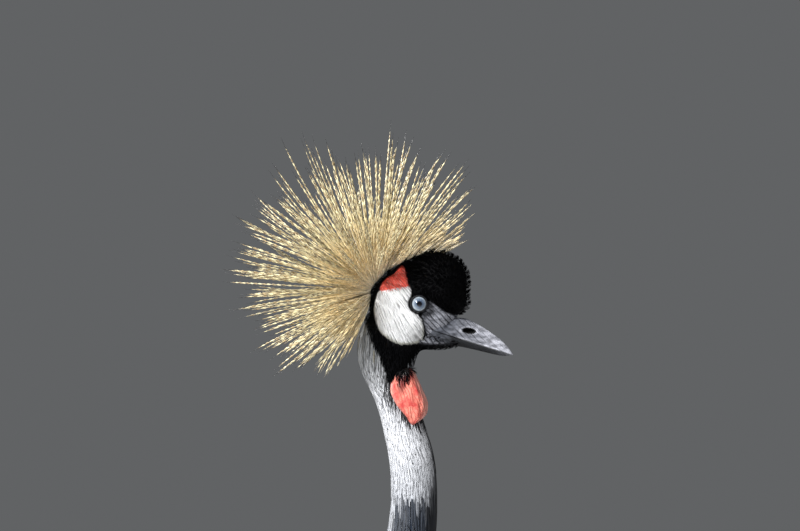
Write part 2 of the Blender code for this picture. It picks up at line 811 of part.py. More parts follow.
def make_tail(torso, wings):
    """Black tail feathers stacked in a closed fan under the wing tips, the middle one on top."""
    slope = Vector((TAIL_TIP[0] - TAIL_ROOT[0], 0, TAIL_TIP[1] - TAIL_ROOT[1]))
    down = Vector((slope.z, 0, -slope.x)).normalized()
    rows = [
        # x, z, half width, above, below
        (TAIL_ROOT[0] + 0.030, TAIL_ROOT[1] + 0.016, 0.022, 0.012, 0.012),
        (TAIL_ROOT[0] - 0.010, TAIL_ROOT[1] - 0.004, 0.026, 0.009, 0.009),
        (TAIL_ROOT[0] - 0.055, TAIL_ROOT[1] - 0.028, 0.022, 0.004, 0.004),
    ]
    tail = mid_loft("tail", rows, steps=2, sides=12)
    feathers = []
    for i in range(TAIL_FEATHERS):
        place = i - (TAIL_FEATHERS - 1) / 2
        root = Vector((TAIL_ROOT[0], place * 0.0042, TAIL_ROOT[1])) + down * (abs(place) * 0.0016 - 0.0030)
        end = root + slope * (1 - 0.012 * abs(place) ** 1.5) + Vector((0, place * 0.0095, 0))
        end += down * abs(place) * 0.0022
        along = (end - root).normalized()
        across = Vector((0, 1, 0)) - along * along.y
        across.normalize()
        out = along.cross(across)
        sections = []
        for t, size in VANE_SHAPE:
            middle = root.lerp(end, t)
            tilt = out * TAIL_ROLL * (-1 if place < 0 else 1 if place > 0 else 0)
            half = across * TAIL_HALF_WIDTH * size
            sections.append([middle - half - tilt, middle + out * VANE_HALF_DEPTH,
                             middle + half + tilt, middle - out * VANE_HALF_DEPTH])
        feathers.append(vane("feather", sections, end))
    combine(tail, feathers, "UNION")
    cut_clear(tail, torso, *wings)
    return dress(tail, "tail black", 0.7)


BREAST_TIERS = (
    # height of the roots, drop to the tips, count, widest angle to each side
    (0.648, 0.098, 6, 46),
    (0.598, 0.098, 7, 48),
)
BREAST_AXIS_X = 0.070


def add_breast_plumes(torso):
    """Long pointed feathers that hang from the base of the neck over the breast."""
    surface = surface_of(torso)
    draw = random.Random(5)

    def on_breast(angle, height, lift):
        """The place on the breast at that angle round an upright line, seen from outside."""
        outward = Vector((math.cos(math.radians(angle)), math.sin(math.radians(angle)), 0))
        start = Vector((BREAST_AXIS_X, 0, height)) + outward * 0.3
        hit, normal, _, _ = surface.ray_cast(start, -outward)
        return hit + normal * lift

    plumes = []
    for tier, (height, drop, count, widest) in enumerate(BREAST_TIERS):
        for i in range(count):
            place = (i + 0.5 * (tier % 2)) / (count - 0.5) * 2 - 1
            angle = widest * place + draw.uniform(-1, 1)
            fall = drop * draw.uniform(0.97, 1.03)
            sections = []
            for t, size in VANE_SHAPE:
                level, lift = height - fall * t, -0.0030 + 0.0085 * t
                half = 11.5 * size * (1 if place <= 0 else -1)
                middle = on_breast(angle, level, lift)
                out = (on_breast(angle, level, lift + 0.01) - middle).normalized()
                sections.append([on_breast(angle + half, level, lift - ROLL * size),
                                 middle + out * VANE_HALF_DEPTH,
                                 on_breast(angle - half, level, lift + ROLL * size),
                                 middle - out * VANE_HALF_DEPTH])
            plumes.append(vane("plume", sections, on_breast(angle, height - fall, 0.0055)))
    combine(torso, plumes, "UNION")
    return dress(torso, "body grey", 0.8)


def make_leg(side, thigh, foot):
    """The bare leg from inside the thigh's end to the foot, with the hock's knob in it."""
    name = "leg_left" if side > 0 else "leg_right"
    y = STANCE * side
    rows = [
        # x, y, z, radius
        (FOOT_X, y, 0.012, 0.0066),
        (FOOT_X - 0.002, y, 0.045, 0.0054),
        (FOOT_X - 0.010, y, 0.120, 0.0052),
        (FOOT_X - 0.018, y, 0.190, 0.0062),
        (FOOT_X - 0.022, y, HOCK_Z - 0.012, 0.0090),
        (FOOT_X - 0.022, y, HOCK_Z + 0.004, 0.0098),
        (FOOT_X - 0.019, y, HOCK_Z + 0.024, 0.0074),
        (FOOT_X - 0.011, y, 0.280, 0.0064),
        (FOOT_X - 0.002, y, THIGH_END_Z + 0.008, 0.0078),
    ]
    leg = limb(name, rows, steps=2, sides=7)
    cut_clear(leg, thigh, foot)
    return dress(leg, "leg black", 0.6)


TOES = {
    # turn from straight ahead towards the mid-plane, length without the claw, radius
    "middle": (0, 0.078, 0.0052),
    "inner": (30, 0.056, 0.0047),
    "outer": (-33, 0.062, 0.0047),
    "hind": (172, 0.034, 0.0044),
}
TOE_HEIGHT = 0.0042
CLAW_LENGTH = 0.0125
CLAW_BASE_SHARE = 0.62  # of the toe's radius
CLAW_ROWS = ((0.0, 1.0, 0.0), (0.35, 0.82, 0.06), (0.7, 0.52, 0.42), (1.0, 0.12, 1.0))  # along, size, sink


def toe_line(side, toe):
    """Where a toe starts and ends, and its direction."""
    turn, length, _ = TOES[toe]
    angle = math.radians(-turn * side)
    ahead = Vector((math.cos(angle), math.sin(angle), 0))
    start = Vector((FOOT_X, STANCE * side, 0))
    return start, start + ahead * length, ahead


def make_foot(side):
    """A foot with four padded toes on small flats, and a claw to each toe."""
    label = "left" if side > 0 else "right"
    middle = Vector((FOOT_X, STANCE * side, 0.0125))
    ankle = egg("foot_" + label, middle, (0.0098, 0.0090, 0.0105), rings=6, sides=10)
    toes = []
    for toe, (_, length, radius) in TOES.items():
        start, _, ahead = toe_line(side, toe)
        rows = []
        for share in (0.0, 0.2, 0.45, 0.7, 0.92, 1.0):
            swell = 1 + 0.07 * math.cos(3 * math.tau * share)
            rise = 0.006 * max(0.0, 1 - share / 0.3)
            place = start + ahead * length * share
            rows.append((place.x, place.y, TOE_HEIGHT * (1 - 0.22 * share) + rise,
                         radius * swell * (1 - 0.30 * share)))
        toes.append(limb("toe", rows, steps=1, sides=6))
    combine(ankle, toes, "UNION")
    sole = half_of(ankle, ankle.name + "_cut", Vector((0, 0, 0)), Vector((0, 0, 1)))
    bpy.data.objects.remove(ankle)
    sole.name = "foot_" + label
    keep_largest(sole)
    claws = []
    for toe, (_, _, radius) in TOES.items():
        _, end, ahead = toe_line(side, toe)
        base = radius * CLAW_BASE_SHARE
        rows = []
        for share, size, sink in CLAW_ROWS:
            place = end + ahead * (GAP + CLAW_LENGTH * share)
            low = 0.12 * base + 0.0001
            height = TOE_HEIGHT * 0.78 * (1 - sink) + low * sink
            rows.append((place.x, place.y, max(height, size * base + 0.0001), size * base))
        claws.append(dress(limb("claw_" + label + "_" + toe, rows, steps=1, sides=6), "leg black", 0.4))
    return dress(sole, "leg black", 0.6), claws


def stand_at_origin(nodes):
    """Hangs every piece from one empty, so that the bird's own box stands centred on the origin."""
    corners = [obj.matrix_world @ Vector(c) for obj in nodes for c in obj.bound_box]
    centre = [(min(c[i] for c in corners) + max(c[i] for c in corners)) / 2 for i in (0, 1)]
    crane = bpy.data.objects.new("crane", None)
    bpy.context.scene.collection.objects.link(crane)
    crane.location = (-centre[0], -centre[1], 0)
    for obj in nodes:
        obj.parent = crane


def build():
    clear_scene()
    parts = make_flesh()
    head = parts["head"]
    eyes = make_eyes(head)
    bill = make_bill(head)
    cut_clear(bill[1], bill[0])
    wattle = make_wattle(head, parts["neck_upper"])
    crest = make_crest(head, parts["neck_upper"])
    wings = [make_wing(side, parts["torso"]) for side in (-1, 1)]
    tail = make_tail(parts["torso"], wings)
    add_breast_plumes(parts["torso"])
    nodes = [*parts.values(), *eyes, *bill, wattle, crest, *wings, tail]
    for side, label in ((-1, "right"), (1, "left")):
        foot, claws = make_foot(side)
        leg = make_leg(side, parts["thigh_" + label], foot)
        nodes += [foot, leg, *claws]
    stand_at_origin(nodes)


build()
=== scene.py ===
"""A grey crowned crane, life size and standing still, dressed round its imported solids.

Metres, +Z up. The bird faces +X with its right side towards -Y, and its soles rest on the floor at z = 0.
"""

import math

import bmesh
import bpy
import numpy as np
from mathutils import Matrix, Vector
from mathutils.bvhtree import BVHTree
from mathutils.kdtree import KDTree


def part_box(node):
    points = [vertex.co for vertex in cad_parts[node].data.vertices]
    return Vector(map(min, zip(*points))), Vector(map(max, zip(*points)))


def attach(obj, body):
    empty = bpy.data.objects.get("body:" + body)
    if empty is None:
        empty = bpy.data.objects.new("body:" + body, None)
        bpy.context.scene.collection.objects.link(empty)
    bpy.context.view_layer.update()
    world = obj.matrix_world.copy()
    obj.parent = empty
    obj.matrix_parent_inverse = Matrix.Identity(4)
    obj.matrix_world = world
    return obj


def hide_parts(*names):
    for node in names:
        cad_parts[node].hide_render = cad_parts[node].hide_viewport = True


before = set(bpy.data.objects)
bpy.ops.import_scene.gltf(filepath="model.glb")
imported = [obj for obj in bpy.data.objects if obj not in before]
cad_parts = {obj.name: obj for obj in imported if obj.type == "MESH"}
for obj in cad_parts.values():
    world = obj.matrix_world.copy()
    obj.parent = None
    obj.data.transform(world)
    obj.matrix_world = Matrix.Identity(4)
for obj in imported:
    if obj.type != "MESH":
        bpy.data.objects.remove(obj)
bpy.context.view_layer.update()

# The skin: one closed hide over the head, neck, body and feathered thighs, stretched over rounded masses
# and pressed in by the depth of the feathers that grow on it. It is bare only on the cheeks and before the
# eyes.
MM = 0.001
# The head is set out from the middle between the eyes, and the body and legs from a place this far behind
# it.
EYE_AHEAD = 0.170
eye_low, eye_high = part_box("eye_right")
EYE = Vector(((eye_low.x + eye_high.x) / 2, 0.0, (eye_low.z + eye_high.z) / 2))
BODY_X = EYE.x - EYE_AHEAD
SIDES = ((-1, "right"), (1, "left"))


def at_head(forward, up, side=0.0):
    """A place on the head, in millimetres forward of, above and beside the middle between the eyes."""
    return Vector((EYE.x + forward * MM, side * MM, EYE.z + up * MM))


def head_plane(places):
    """How far places lie forward of the eyes, above them and out to either side, in millimetres."""
    return (places[:, 0] - EYE.x) / MM, (places[:, 2] - EYE.z) / MM, np.abs(places[:, 1]) / MM


HEAD_MASSES = (
    # forward, up, side; half length, half width, half height; tilt in degrees, nose down
    ((-15, 1, 0), (30, 20, 30.5), 0),
    ((14.5, 19.5, 0), (31.5, 17.5, 29), 0),
    ((31.5, 3.5, 0), (14.5, 11, 15), 0),
    ((10, -14, 0), (24, 13, 17), 0),
    ((8, -31, 0), (30, 9.5, 11), 8),
    ((-15, -15, 5), (25, 15.5, 24), 0),
    ((-15, -15, -5), (25, 15.5, 24), 0),
    ((-9, 16, 0), (23, 15, 23), 0),
)
NECK_ROWS = (
    # forward, up, half width, reach to the back, reach to the front
    (-20, -6, 15, 20, 18), (-26, -32, 19.5, 30, 27), (-28.5, -52, 19, 27.5, 26), (-26, -70, 18, 21.7, 21.7),
    (-21, -85, 17.5, 19.5, 19.5), (-12.5, -114, 18.5, 20.6, 20.6), (-5.5, -145, 20, 22.2, 22.2),
    (-4.3, -185, 21, 22.8, 22.8), (-9, -220, 22.5, 25, 25), (-22, -258, 27, 31, 31), (-46, -296, 38, 43, 42),
    (-80, -332, 52, 60, 54), (-112, -356, 58, 66, 58),
)
BODY_ROWS = (
    # x, z, half width, above the line, below the line
    (0.150, 0.556, 0.014, 0.014, 0.014), (0.137, 0.558, 0.046, 0.044, 0.050),
    (0.090, 0.562, 0.080, 0.072, 0.092), (0.010, 0.560, 0.098, 0.088, 0.114),
    (-0.070, 0.551, 0.097, 0.088, 0.104), (-0.150, 0.532, 0.080, 0.070, 0.080),
    (-0.215, 0.508, 0.050, 0.046, 0.050), (-0.255, 0.488, 0.022, 0.022, 0.022),
)
FOOT_X = -0.040
THIGH_END_Z = 0.338
THIGH_ROWS = (
    # x from the foot, y, z, radius
    (0.044, 0.040, 0.548, 0.012), (0.042, 0.041, 0.538, 0.034), (0.036, 0.043, 0.505, 0.045),
    (0.028, 0.045, 0.460, 0.041), (0.017, 0.046, 0.410, 0.030), (0.006, 0.046, 0.370, 0.020),
    (-0.001, 0.046, THIGH_END_Z, 0.0125),
)
SKIN_GRAIN = 0.0031
SKIN_EASING = 5
HEAD_BASE_UP = -66
HEAD_CUTS = 3
HEAD_EASING = 5


def curve_through(before, start, end, after, t):
    """Places on the smooth curve from start to end, at shares t of the way between them."""
    return 0.5 * (2 * start + (end - before) * t + (2 * before - 5 * start + 4 * end - after) * t**2
                  + (3 * start - before - 3 * end + after) * t**3)


def smooth_rows(rows, steps):
    """Rows of numbers along a smooth curve through the given ones."""
    rows = np.array(rows, float)
    ends = np.vstack([2 * rows[0] - rows[1], rows, 2 * rows[-1] - rows[-2]])
    t = (np.arange(steps) / steps)[:, None]
    found = [curve_through(*four, t) for four in zip(ends, ends[1:], ends[2:], ends[3:])]
    return np.vstack([*found, rows[-1:]])


def unit(vectors):
    return vectors / np.maximum(np.linalg.norm(vectors, axis=-1, keepdims=True), 1e-9)


def mesh_piece(name, places, faces):
    """A new mesh object with its faces turned outward."""
    mesh = bpy.data.meshes.new(name)
    mesh.from_pydata(np.asarray(places).tolist(), [], faces)
    shape = bmesh.new()
    shape.from_mesh(mesh)
    bmesh.ops.recalc_face_normals(shape, faces=shape.faces)
    shape.to_mesh(mesh)
    shape.free()
    mesh.shade_smooth()
    piece = bpy.data.objects.new(name, mesh)
    bpy.context.scene.collection.objects.link(piece)
    return piece


def ring_faces(ids):
    """The faces between each ring of points and the next, from the points' numbers."""
    beside = np.roll(ids, -1, axis=1)
    return np.stack([ids[:-1], beside[:-1], beside[1:], ids[1:]], -1).reshape(-1, 4)


def shell(name, rings):
    """A closed surface through rings of equally many places, with both ends capped."""
    rings = np.asarray(rings, float)
    ids = np.arange(rings.shape[0] * rings.shape[1]).reshape(rings.shape[:2])
    faces = ring_faces(ids).tolist()
    return mesh_piece(name, rings.reshape(-1, 3), [*faces, ids[0, ::-1].tolist(), ids[-1].tolist()])


def squared(angle, power):
    """Cosine and sine, squared off where the power is over 2."""
    c, s = np.cos(angle), np.sin(angle)
    return np.sign(c) * np.abs(c) ** (2 / power), np.sign(s) * np.abs(s) ** (2 / power)


def rings_in_mid_plane(rows, sides, power=2.0):
    """Rings round a line in the bird's mid-plane: x, z, half width, above and below the line."""
    x, z, width, above, below = rows.T
    run = unit(np.gradient(np.stack([x, z], 1), axis=0))
    c, s = squared(np.linspace(0, math.tau, sides, endpoint=False), power)
    reach = np.where(s > 0, above[:, None], below[:, None]) * s
    across = width[:, None] * c
    return np.stack([x[:, None] - run[:, 1:] * reach, across, z[:, None] + run[:, :1] * reach], -1)


def rings_on_limb(rows, sides):
    """Rings round a line through rows of x, y, z and radius."""
    places, radius = rows[:, :3], rows[:, 3]
    run = unit(np.gradient(places, axis=0))
    level = np.where(np.abs(run[:, 2:]) < 0.8, [[0.0, 0.0, 1.0]], [[1.0, 0.0, 0.0]])
    side = unit(np.cross(run, level))
    over = np.cross(side, run)
    a = np.linspace(0, math.tau, sides, endpoint=False)[None, :, None]
    return places[:, None] + radius[:, None, None] * (side[:, None] * np.cos(a) + over[:, None] * np.sin(a))


def settle(piece):
    """Makes the shape that a piece's modifiers give it its own."""
    graph = bpy.context.evaluated_depsgraph_get()
    shape = bpy.data.meshes.new_from_object(piece.evaluated_get(graph))
    piece.modifiers.clear()
    piece.data = shape


masses = []
for (forward, up, side), radii, tilt in HEAD_MASSES:
    bpy.ops.mesh.primitive_uv_sphere_add(segments=48, ring_count=32, radius=1.0)
    mass = bpy.context.object
    mass.data.transform(
        Matrix.Translation(at_head(forward, up, side)) @ Matrix.Rotation(math.radians(tilt), 4, "Y")
        @ Matrix.Diagonal((*[r * MM for r in radii], 1.0))
    )
    masses.append(mass)
neck_rows = np.array(NECK_ROWS, float)[:, [0, 1, 2, 4, 3]] * MM + [EYE.x, EYE.z, 0, 0, 0]
masses.append(shell("neck", rings_in_mid_plane(smooth_rows(neck_rows, 4), 40)))
body_rows = np.array(BODY_ROWS) + [BODY_X, 0, 0, 0, 0]
masses.append(shell("body", rings_in_mid_plane(smooth_rows(body_rows, 6), 56)))
for side, _ in SIDES:
    thigh_rows = np.array(THIGH_ROWS) * [1, side, 1, 1] + [BODY_X + FOOT_X, 0, 0, 0]
    masses.append(shell("thigh", rings_on_limb(smooth_rows(thigh_rows, 5), 32)))
skin = masses[0]
with bpy.context.temp_override(active_object=skin, selected_editable_objects=masses):
    bpy.ops.object.join()
skin.name = "skin"
stretch = skin.modifiers.new("stretch", "REMESH")
stretch.mode = "VOXEL"
stretch.voxel_size = SKIN_GRAIN
ease = skin.modifiers.new("ease", "SMOOTH")
ease.iterations = SKIN_EASING
ease.factor = 0.5
settle(skin)

fine = bmesh.new()
fine.from_mesh(skin.data)
head_base = at_head(0, HEAD_BASE_UP).z
head_faces = [f for f in fine.faces if f.calc_center_median().z > head_base]
bmesh.ops.subdivide_edges(
    fine, edges=list({e for f in head_faces for e in f.edges}), cuts=HEAD_CUTS, use_grid_fill=True
)
head_points = [v for v in fine.verts if v.co.z > head_base]
for _ in range(HEAD_EASING):
    bmesh.ops.smooth_vert(
        fine, verts=head_points, factor=0.5, use_axis_x=True, use_axis_y=True, use_axis_z=True
    )
fine.to_mesh(skin.data)
fine.free()

# The skin's markings, which its feathers share: white cheek with painted shade along its lower rim, red
# temple, black cap, rim and throat, slate-grey bare skin before the eye, pale grey neck with a band of
# painted shade down its front and the pouch's painted shadow below the pouch, slate at the neck's foot
# darkened to near-black with painted shade, and slate body. Outlines are forward and up of the eye.
CHEEK = ((-35, 12), (-38.6, 4.5), (-40.2, -5), (-39, -14), (-34.8, -24.4), (-27, -31.4), (-16, -36.2),
         (-2, -35.4), (4.0, -31.6), (4.8, -25), (2.4, -14), (-5.4, -5.2), (-8.1, 2), (-6.6, 9), (-9.4, 16),
         (-22, 16.5))
TEMPLE = ((-34.6, 11.8), (-33.2, 18), (-28.2, 23.6), (-21.5, 27.4), (-17.6, 32.2), (-14.4, 34.4),
          (-12.2, 31.6), (-10.6, 23), (-9.6, 16), (-16, 14.6), (-22, 13.6), (-29, 12.4))
LORE = ((3, -6), (9, 2.5), (20, -4.5), (31, -10.5), (46, -12), (52, -36), (30, -36.5), (1, -35.2),
        (6.2, -27), (3.4, -12))
# up, then how far forward the black of the head begins, from the back of the crown down past the throat;
# the last rows, below the pouch, paint the pouch's shadow on the neck black
BLACK_AND_SHADOW_FROM = ((60, -80), (14, -70), (6, -48), (-1, -47.5), (-15, -47), (-31, -40.5), (-46, -33), (-59, -28),
              (-66, -27), (-71, -29), (-80, -27.6), (-90, -23.5), (-97, -17.5), (-103, -11), (-108, -4.5),
              (-112, 2), (-116, 9), (-119, 60))
PALE_TUFT = (-4.0, -58.0, 5.0)
EYE_RIM = 9.4
BLACK = (0.0075, 0.0075, 0.0085)
CHEEK_WHITE = (0.94, 0.945, 0.955)
CHEEK_RIM_SHADE = (0.42, 0.42, 0.33)
TEMPLE_RED = (0.78, 0.095, 0.065)
TEMPLE_PINK = (0.84, 0.36, 0.30)
LORE_SLATE = (0.060, 0.066, 0.080)
NECK_GREY = (0.50, 0.52, 0.56)
NECK_WHITE = (0.85, 0.865, 0.91)
NECK_DARK_AND_SHADOW = (0.060, 0.064, 0.075)
NAPE_GREY = (0.27, 0.28, 0.29)
NECK_SLATE_AND_SHADE = (0.022, 0.030, 0.046)
NECK_FRONT_SHADE = (0.010, 0.012, 0.018)
STRAW_TINT = (1.12, 1.0, 0.72)
BODY_SLATE = (0.150, 0.163, 0.188)
BACK_SLATE = (0.118, 0.128, 0.148)
THIGH_SLATE = (0.085, 0.092, 0.108)
# The heights between which each colour of the neck comes in, in millimetres up from the eye, the share of
# white in the pale neck, and where the painted shade down the front begins before the neck's middle line,
# there and below the throat.
SLATE_AND_SHADE_UP, PALE_UP, WHITE_UP, NAPE_UP = (-330, -235), (-187, -175), (-185, -120), (-88, -48)
WHITE_SHARE = 0.88
FRONT_SHADE_FOOT_UP, FRONT_SHADE_TOP_UP, FRONT_SHADE_WIDER_UP = (-300, -200), (-121, -113), (-178, -158)
FRONT_SHADE_FROM, FRONT_SHADE_WIDENS, FRONT_SHADE_EDGE = 18.0, 5.0, 2.5
# The heights in metres between which the back and the thighs take their own slate.
BACK_Z, THIGH_Z = (0.56, 0.62), (0.38, 0.50)


def inside(forward, up, outline):
    """How far each place lies inside a smooth outline, in millimetres, and less than nothing outside it."""
    corners = smooth_rows([*outline[-2:], *outline, *outline[:2]], 3)[6:6 + 3 * len(outline)]
    ends = np.roll(corners, -1, axis=0)
    here = np.stack([forward, up], -1)[:, None]
    edge = ends - corners
    share = np.clip(((here - corners) * edge).sum(-1) / (edge**2).sum(-1), 0, 1)
    distance = np.linalg.norm(here - corners - share[..., None] * edge, axis=-1).min(1)
    above = (corners[:, 1] > up[:, None]) != (ends[:, 1] > up[:, None])
    safe = np.where(edge[:, 1] == 0, 1.0, edge[:, 1])
    crossing = corners[:, 0] + (up[:, None] - corners[:, 1]) / safe * edge[:, 0]
    odd = (above & (forward[:, None] < crossing)).sum(1) % 2 == 1
    return np.where(odd, distance, -distance)


def ramp(value, low, high):
    """Nothing below the low value, one above the high value, and eased between them."""
    t = np.clip((value - low) / (high - low), 0, 1)
    return t * t * (3 - 2 * t)


def between(first, last, share):
    """A blend that is the first at a share of nothing and the last at one."""
    return first * (1 - share) + last * share


def mixed(under, over, share):
    return between(under, np.array(over), share[:, None])


def into_black_and_shadow(forward, up):
    """How far a place lies into the black of the head, and below the pouch into its painted shadow, in
    millimetres.
    """
    ups, starts = np.array(BLACK_AND_SHADOW_FROM[::-1], float).T
    return forward - np.interp(up, ups, starts)


def before_neck_line(places):
    """How far places lie forward of the line down the middle of the neck, in millimetres."""
    forward, up, _ = head_plane(places)
    middles, ups = np.array(NECK_ROWS[::-1], float)[:, :2].T
    return forward - np.interp(up, ups, middles)


def parts_of_face(places):
    """The share of cheek, temple, bare lore and pale throat tuft at each place."""
    forward, up, side = head_plane(places)
    cheek = ramp(inside(forward, up, CHEEK), -0.5, 0.5) * (side > 5)
    temple = ramp(inside(forward, up, TEMPLE), -0.5, 0.5) * ramp(side, 3.5, 5.0)
    lore = ramp(inside(forward, up, LORE), -1.0, 1.0)
    rim = ramp(EYE_RIM - np.hypot(forward, up), -0.6, 0.6)
    tuft_forward, tuft_up, tuft_reach = PALE_TUFT
    tuft = ramp(tuft_reach - np.hypot(forward - tuft_forward, up - tuft_up), -2, 1)
    return cheek * (1 - rim), temple, lore * (1 - rim), tuft


def dye_at(places):
    """The colour of the plumage and of the skin under it."""
    forward, up, _ = head_plane(places)
    body_x, z = places[:, 0] - BODY_X, places[:, 2]
    dye = np.tile(np.array(BODY_SLATE), (len(places), 1))
    dye = mixed(dye, BACK_SLATE, ramp(z, *BACK_Z) * ramp(-body_x, -0.06, 0.02))
    dye = mixed(dye, THIGH_SLATE, 1 - ramp(z, *THIGH_Z))
    before_line = before_neck_line(places)
    behind = 1 - ramp(before_line, -19, -10)
    # Slate at the neck's foot, darkened to near-black with painted shade. It comes in less behind the neck
    # line, where the pale neck also reaches lower, partly as painted light along the back edge.
    dye = mixed(dye, NECK_SLATE_AND_SHADE, ramp(up, *SLATE_AND_SHADE_UP) * (1 - 0.45 * behind))
    pale_neck = ramp(up, PALE_UP[0] - 30 * behind, PALE_UP[1] - 14 * behind)
    dye = mixed(dye, NECK_GREY, pale_neck)
    dye = mixed(dye, NECK_WHITE, WHITE_SHARE * ramp(up, *WHITE_UP) * pale_neck)
    dye = mixed(dye, NAPE_GREY, ramp(up, *NAPE_UP))
    # Painted shade: a dark band down the front of the neck, wider low down.
    front_shade_from = FRONT_SHADE_FROM - FRONT_SHADE_WIDENS * (1 - ramp(up, *FRONT_SHADE_WIDER_UP))
    front_shade = ramp(before_line - front_shade_from, 0, FRONT_SHADE_EDGE) * (1 - ramp(up, *FRONT_SHADE_TOP_UP))
    dye = mixed(dye, NECK_FRONT_SHADE, front_shade * ramp(up, *FRONT_SHADE_FOOT_UP))
    # Here the black also paints the pouch's shadow on the neck below the pouch.
    dye = mixed(dye, BLACK, ramp(into_black_and_shadow(forward, up), -6, 1) * (up > -125))
    cheek, temple, lore, tuft = parts_of_face(places)
    markings = ((lore, LORE_SLATE), (cheek, CHEEK_WHITE), (temple, TEMPLE_RED), (tuft * 0.5, NECK_WHITE))
    for share, colour in markings:
        dye = mixed(dye, colour, share)
    # Painted shade, cream-grey, along the cheek's lower rim.
    shaded_lower_rim = cheek * (1 - ramp(inside(forward, up, CHEEK), 0.6, 3.2)) * ramp(-up, 14, 30)
    return mixed(dye, CHEEK_RIM_SHADE, 0.8 * shaded_lower_rim)


# How thick the feathers lie, in millimetres: over most of the skin, and how much more at the nape, more on
# the body and less down the thighs, and then on the cheek and before the eye.
COAT, NAPE_MORE, BODY_MORE, THIGH_LESS = 1.7, 0.1, 1.6, 1.0
CHEEK_COAT, LORE_COAT = 0.45, 0.6


def feather_depth(places):
    """How thick the feathers lie over the skin, in metres."""
    _, up, _ = head_plane(places)
    cheek, temple, lore, _ = parts_of_face(places)
    depth = COAT + NAPE_MORE * (1 - ramp(up, -75, -45)) + BODY_MORE * (1 - ramp(up, -340, -240))
    depth -= THIGH_LESS * (1 - ramp(places[:, 2], 0.345, 0.44)) * (places[:, 2] < 0.5)
    face = cheek + temple
    depth = np.where(face > 0.02, depth + (CHEEK_COAT - depth) * np.clip(face, 0, 1), depth)
    return (depth + (LORE_COAT - depth) * lore) * MM


def vertex_array(mesh):
    places = np.empty(len(mesh.vertices) * 3, np.float32)
    mesh.vertices.foreach_get("co", places)
    return places.reshape(-1, 3).astype(float)


def normal_array(mesh):
    normals = np.empty(len(mesh.vertices) * 3, np.float32)
    mesh.vertex_normals.foreach_get("vector", normals)
    return normals.reshape(-1, 3).astype(float)


def move_points(mesh, places):
    mesh.vertices.foreach_set("co", places.astype(np.float32).ravel())
    mesh.update()


# The bill's own line, which the mouth follows back into the cheek, in millimetres from the middle between
# the eyes, and how far it droops.
GAPE_FORWARD, GAPE_UP = 8.7, -22.9
BILL_DROOP = math.radians(17.3)


def at_bill(along, up, side=0.0):
    """A place on the bill, in millimetres along it from the gape and up from the line of the mouth."""
    c, s = math.cos(BILL_DROOP), math.sin(BILL_DROOP)
    return at_head(GAPE_FORWARD + along * c + up * s, GAPE_UP - along * s + up * c, side)


def bill_plane(places):
    """How far places lie along the bill from the gape and up from the line of the mouth, in millimetres."""
    forward, up, _ = head_plane(places)
    forward, up = forward - GAPE_FORWARD, up - GAPE_UP
    c, s = math.cos(BILL_DROOP), math.sin(BILL_DROOP)
    return forward * c - up * s, forward * s + up * c


# The place that the cheek's grooves fan out from and the degrees between them, and the way that the dark
# lines before the eye run and the millimetres between them.
CHEEK_FAN = (-63, 72.5)
CHEEK_FAN_STEP = 2.05
LORE_RUN = (0.70, -0.714)
LORE_STEP = 3.8

# How deep each is pressed in, in millimetres.
MOUTH_DEPTH, EYE_SEAT_DEPTH, CHEEK_GROOVE, LORE_GROOVE = 1.1, 0.9, 0.48, 0.42


def cheek_line(places):
    """Counts the cheek's grooves, which fan out from a place above and behind it: whole on each groove."""
    forward, up, _ = head_plane(places)
    even = np.degrees(np.arctan2(forward - CHEEK_FAN[0], CHEEK_FAN[1] - up)) / CHEEK_FAN_STEP
    return even + 0.30 * np.sin(1.9 * even) + 0.10 * np.sin(up / 5.0 + 2.3 * even)


def lore_line(places):
    """Counts the dark lines across the bare skin before the eye, which run down towards the bill."""
    forward, up, _ = head_plane(places)
    return (-LORE_RUN[1] * forward + LORE_RUN[0] * up) / LORE_STEP


def near_line(count, width):
    """One on a line and nothing a width away from it, where the count is whole on each line."""
    return np.exp(-(((count - np.round(count)) / width) ** 2))


places = vertex_array(skin.data)
depth = feather_depth(places)
along, above = bill_plane(places)
forward, up, side = head_plane(places)
cheek, temple, lore, _ = parts_of_face(places)
mouth = np.exp(-((above / 0.8) ** 2)) * ramp(along, -3, 0) * ramp(side, 3, 6)
eye_seat = ramp(11.5 - np.hypot(forward, up), 0, 4) * ramp(side, 8, 12)
fading = 0.55 + 0.45 * np.sin(2.4 * np.round(cheek_line(places)) + up / 6.5)
grooved = CHEEK_GROOVE * fading * cheek * near_line(cheek_line(places), 0.18)
grooved += LORE_GROOVE * lore * near_line(lore_line(places), 0.16)
depth += (MOUTH_DEPTH * mouth + EYE_SEAT_DEPTH * eye_seat + grooved) * MM
places -= normal_array(skin.data) * depth[:, None]
move_points(skin.data, places)
skin.data.shade_smooth()


def paint(mesh, dye):
    """Gives a mesh its dye, one colour for each point."""
    layer = mesh.color_attributes.new(name="dye", type="FLOAT_COLOR", domain="POINT")
    layer.data.foreach_set("color", np.c_[dye, np.ones(len(dye))].astype(np.float32).ravel())


def weigh(mesh, name, values):
    """Gives each point of a mesh one named number."""
    layer = mesh.attributes.new(name=name, type="FLOAT", domain="POINT")
    layer.data.foreach_set("value", np.asarray(values, np.float32))


cheek, temple, lore, _ = parts_of_face(places)
paint(skin.data, dye_at(places))
weigh(skin.data, "lore", lore)
weigh(skin.data, "cheek", np.clip(cheek + temple, 0, 1))
weigh(skin.data, "cheek line", cheek_line(places))
weigh(skin.data, "lore line", lore_line(places))


def node(tree, kind, inputs=None, **settings):
    """Adds a shader node, with its settings, and with each named input joined or set."""
    made = tree.nodes.new(kind)
    for key, value in settings.items():
        setattr(made, key, value)
    for key, value in (inputs or {}).items():
        if isinstance(value, bpy.types.NodeSocket):
            tree.links.new(value, made.inputs[key])
        else:
            made.inputs[key].default_value = value
    return made


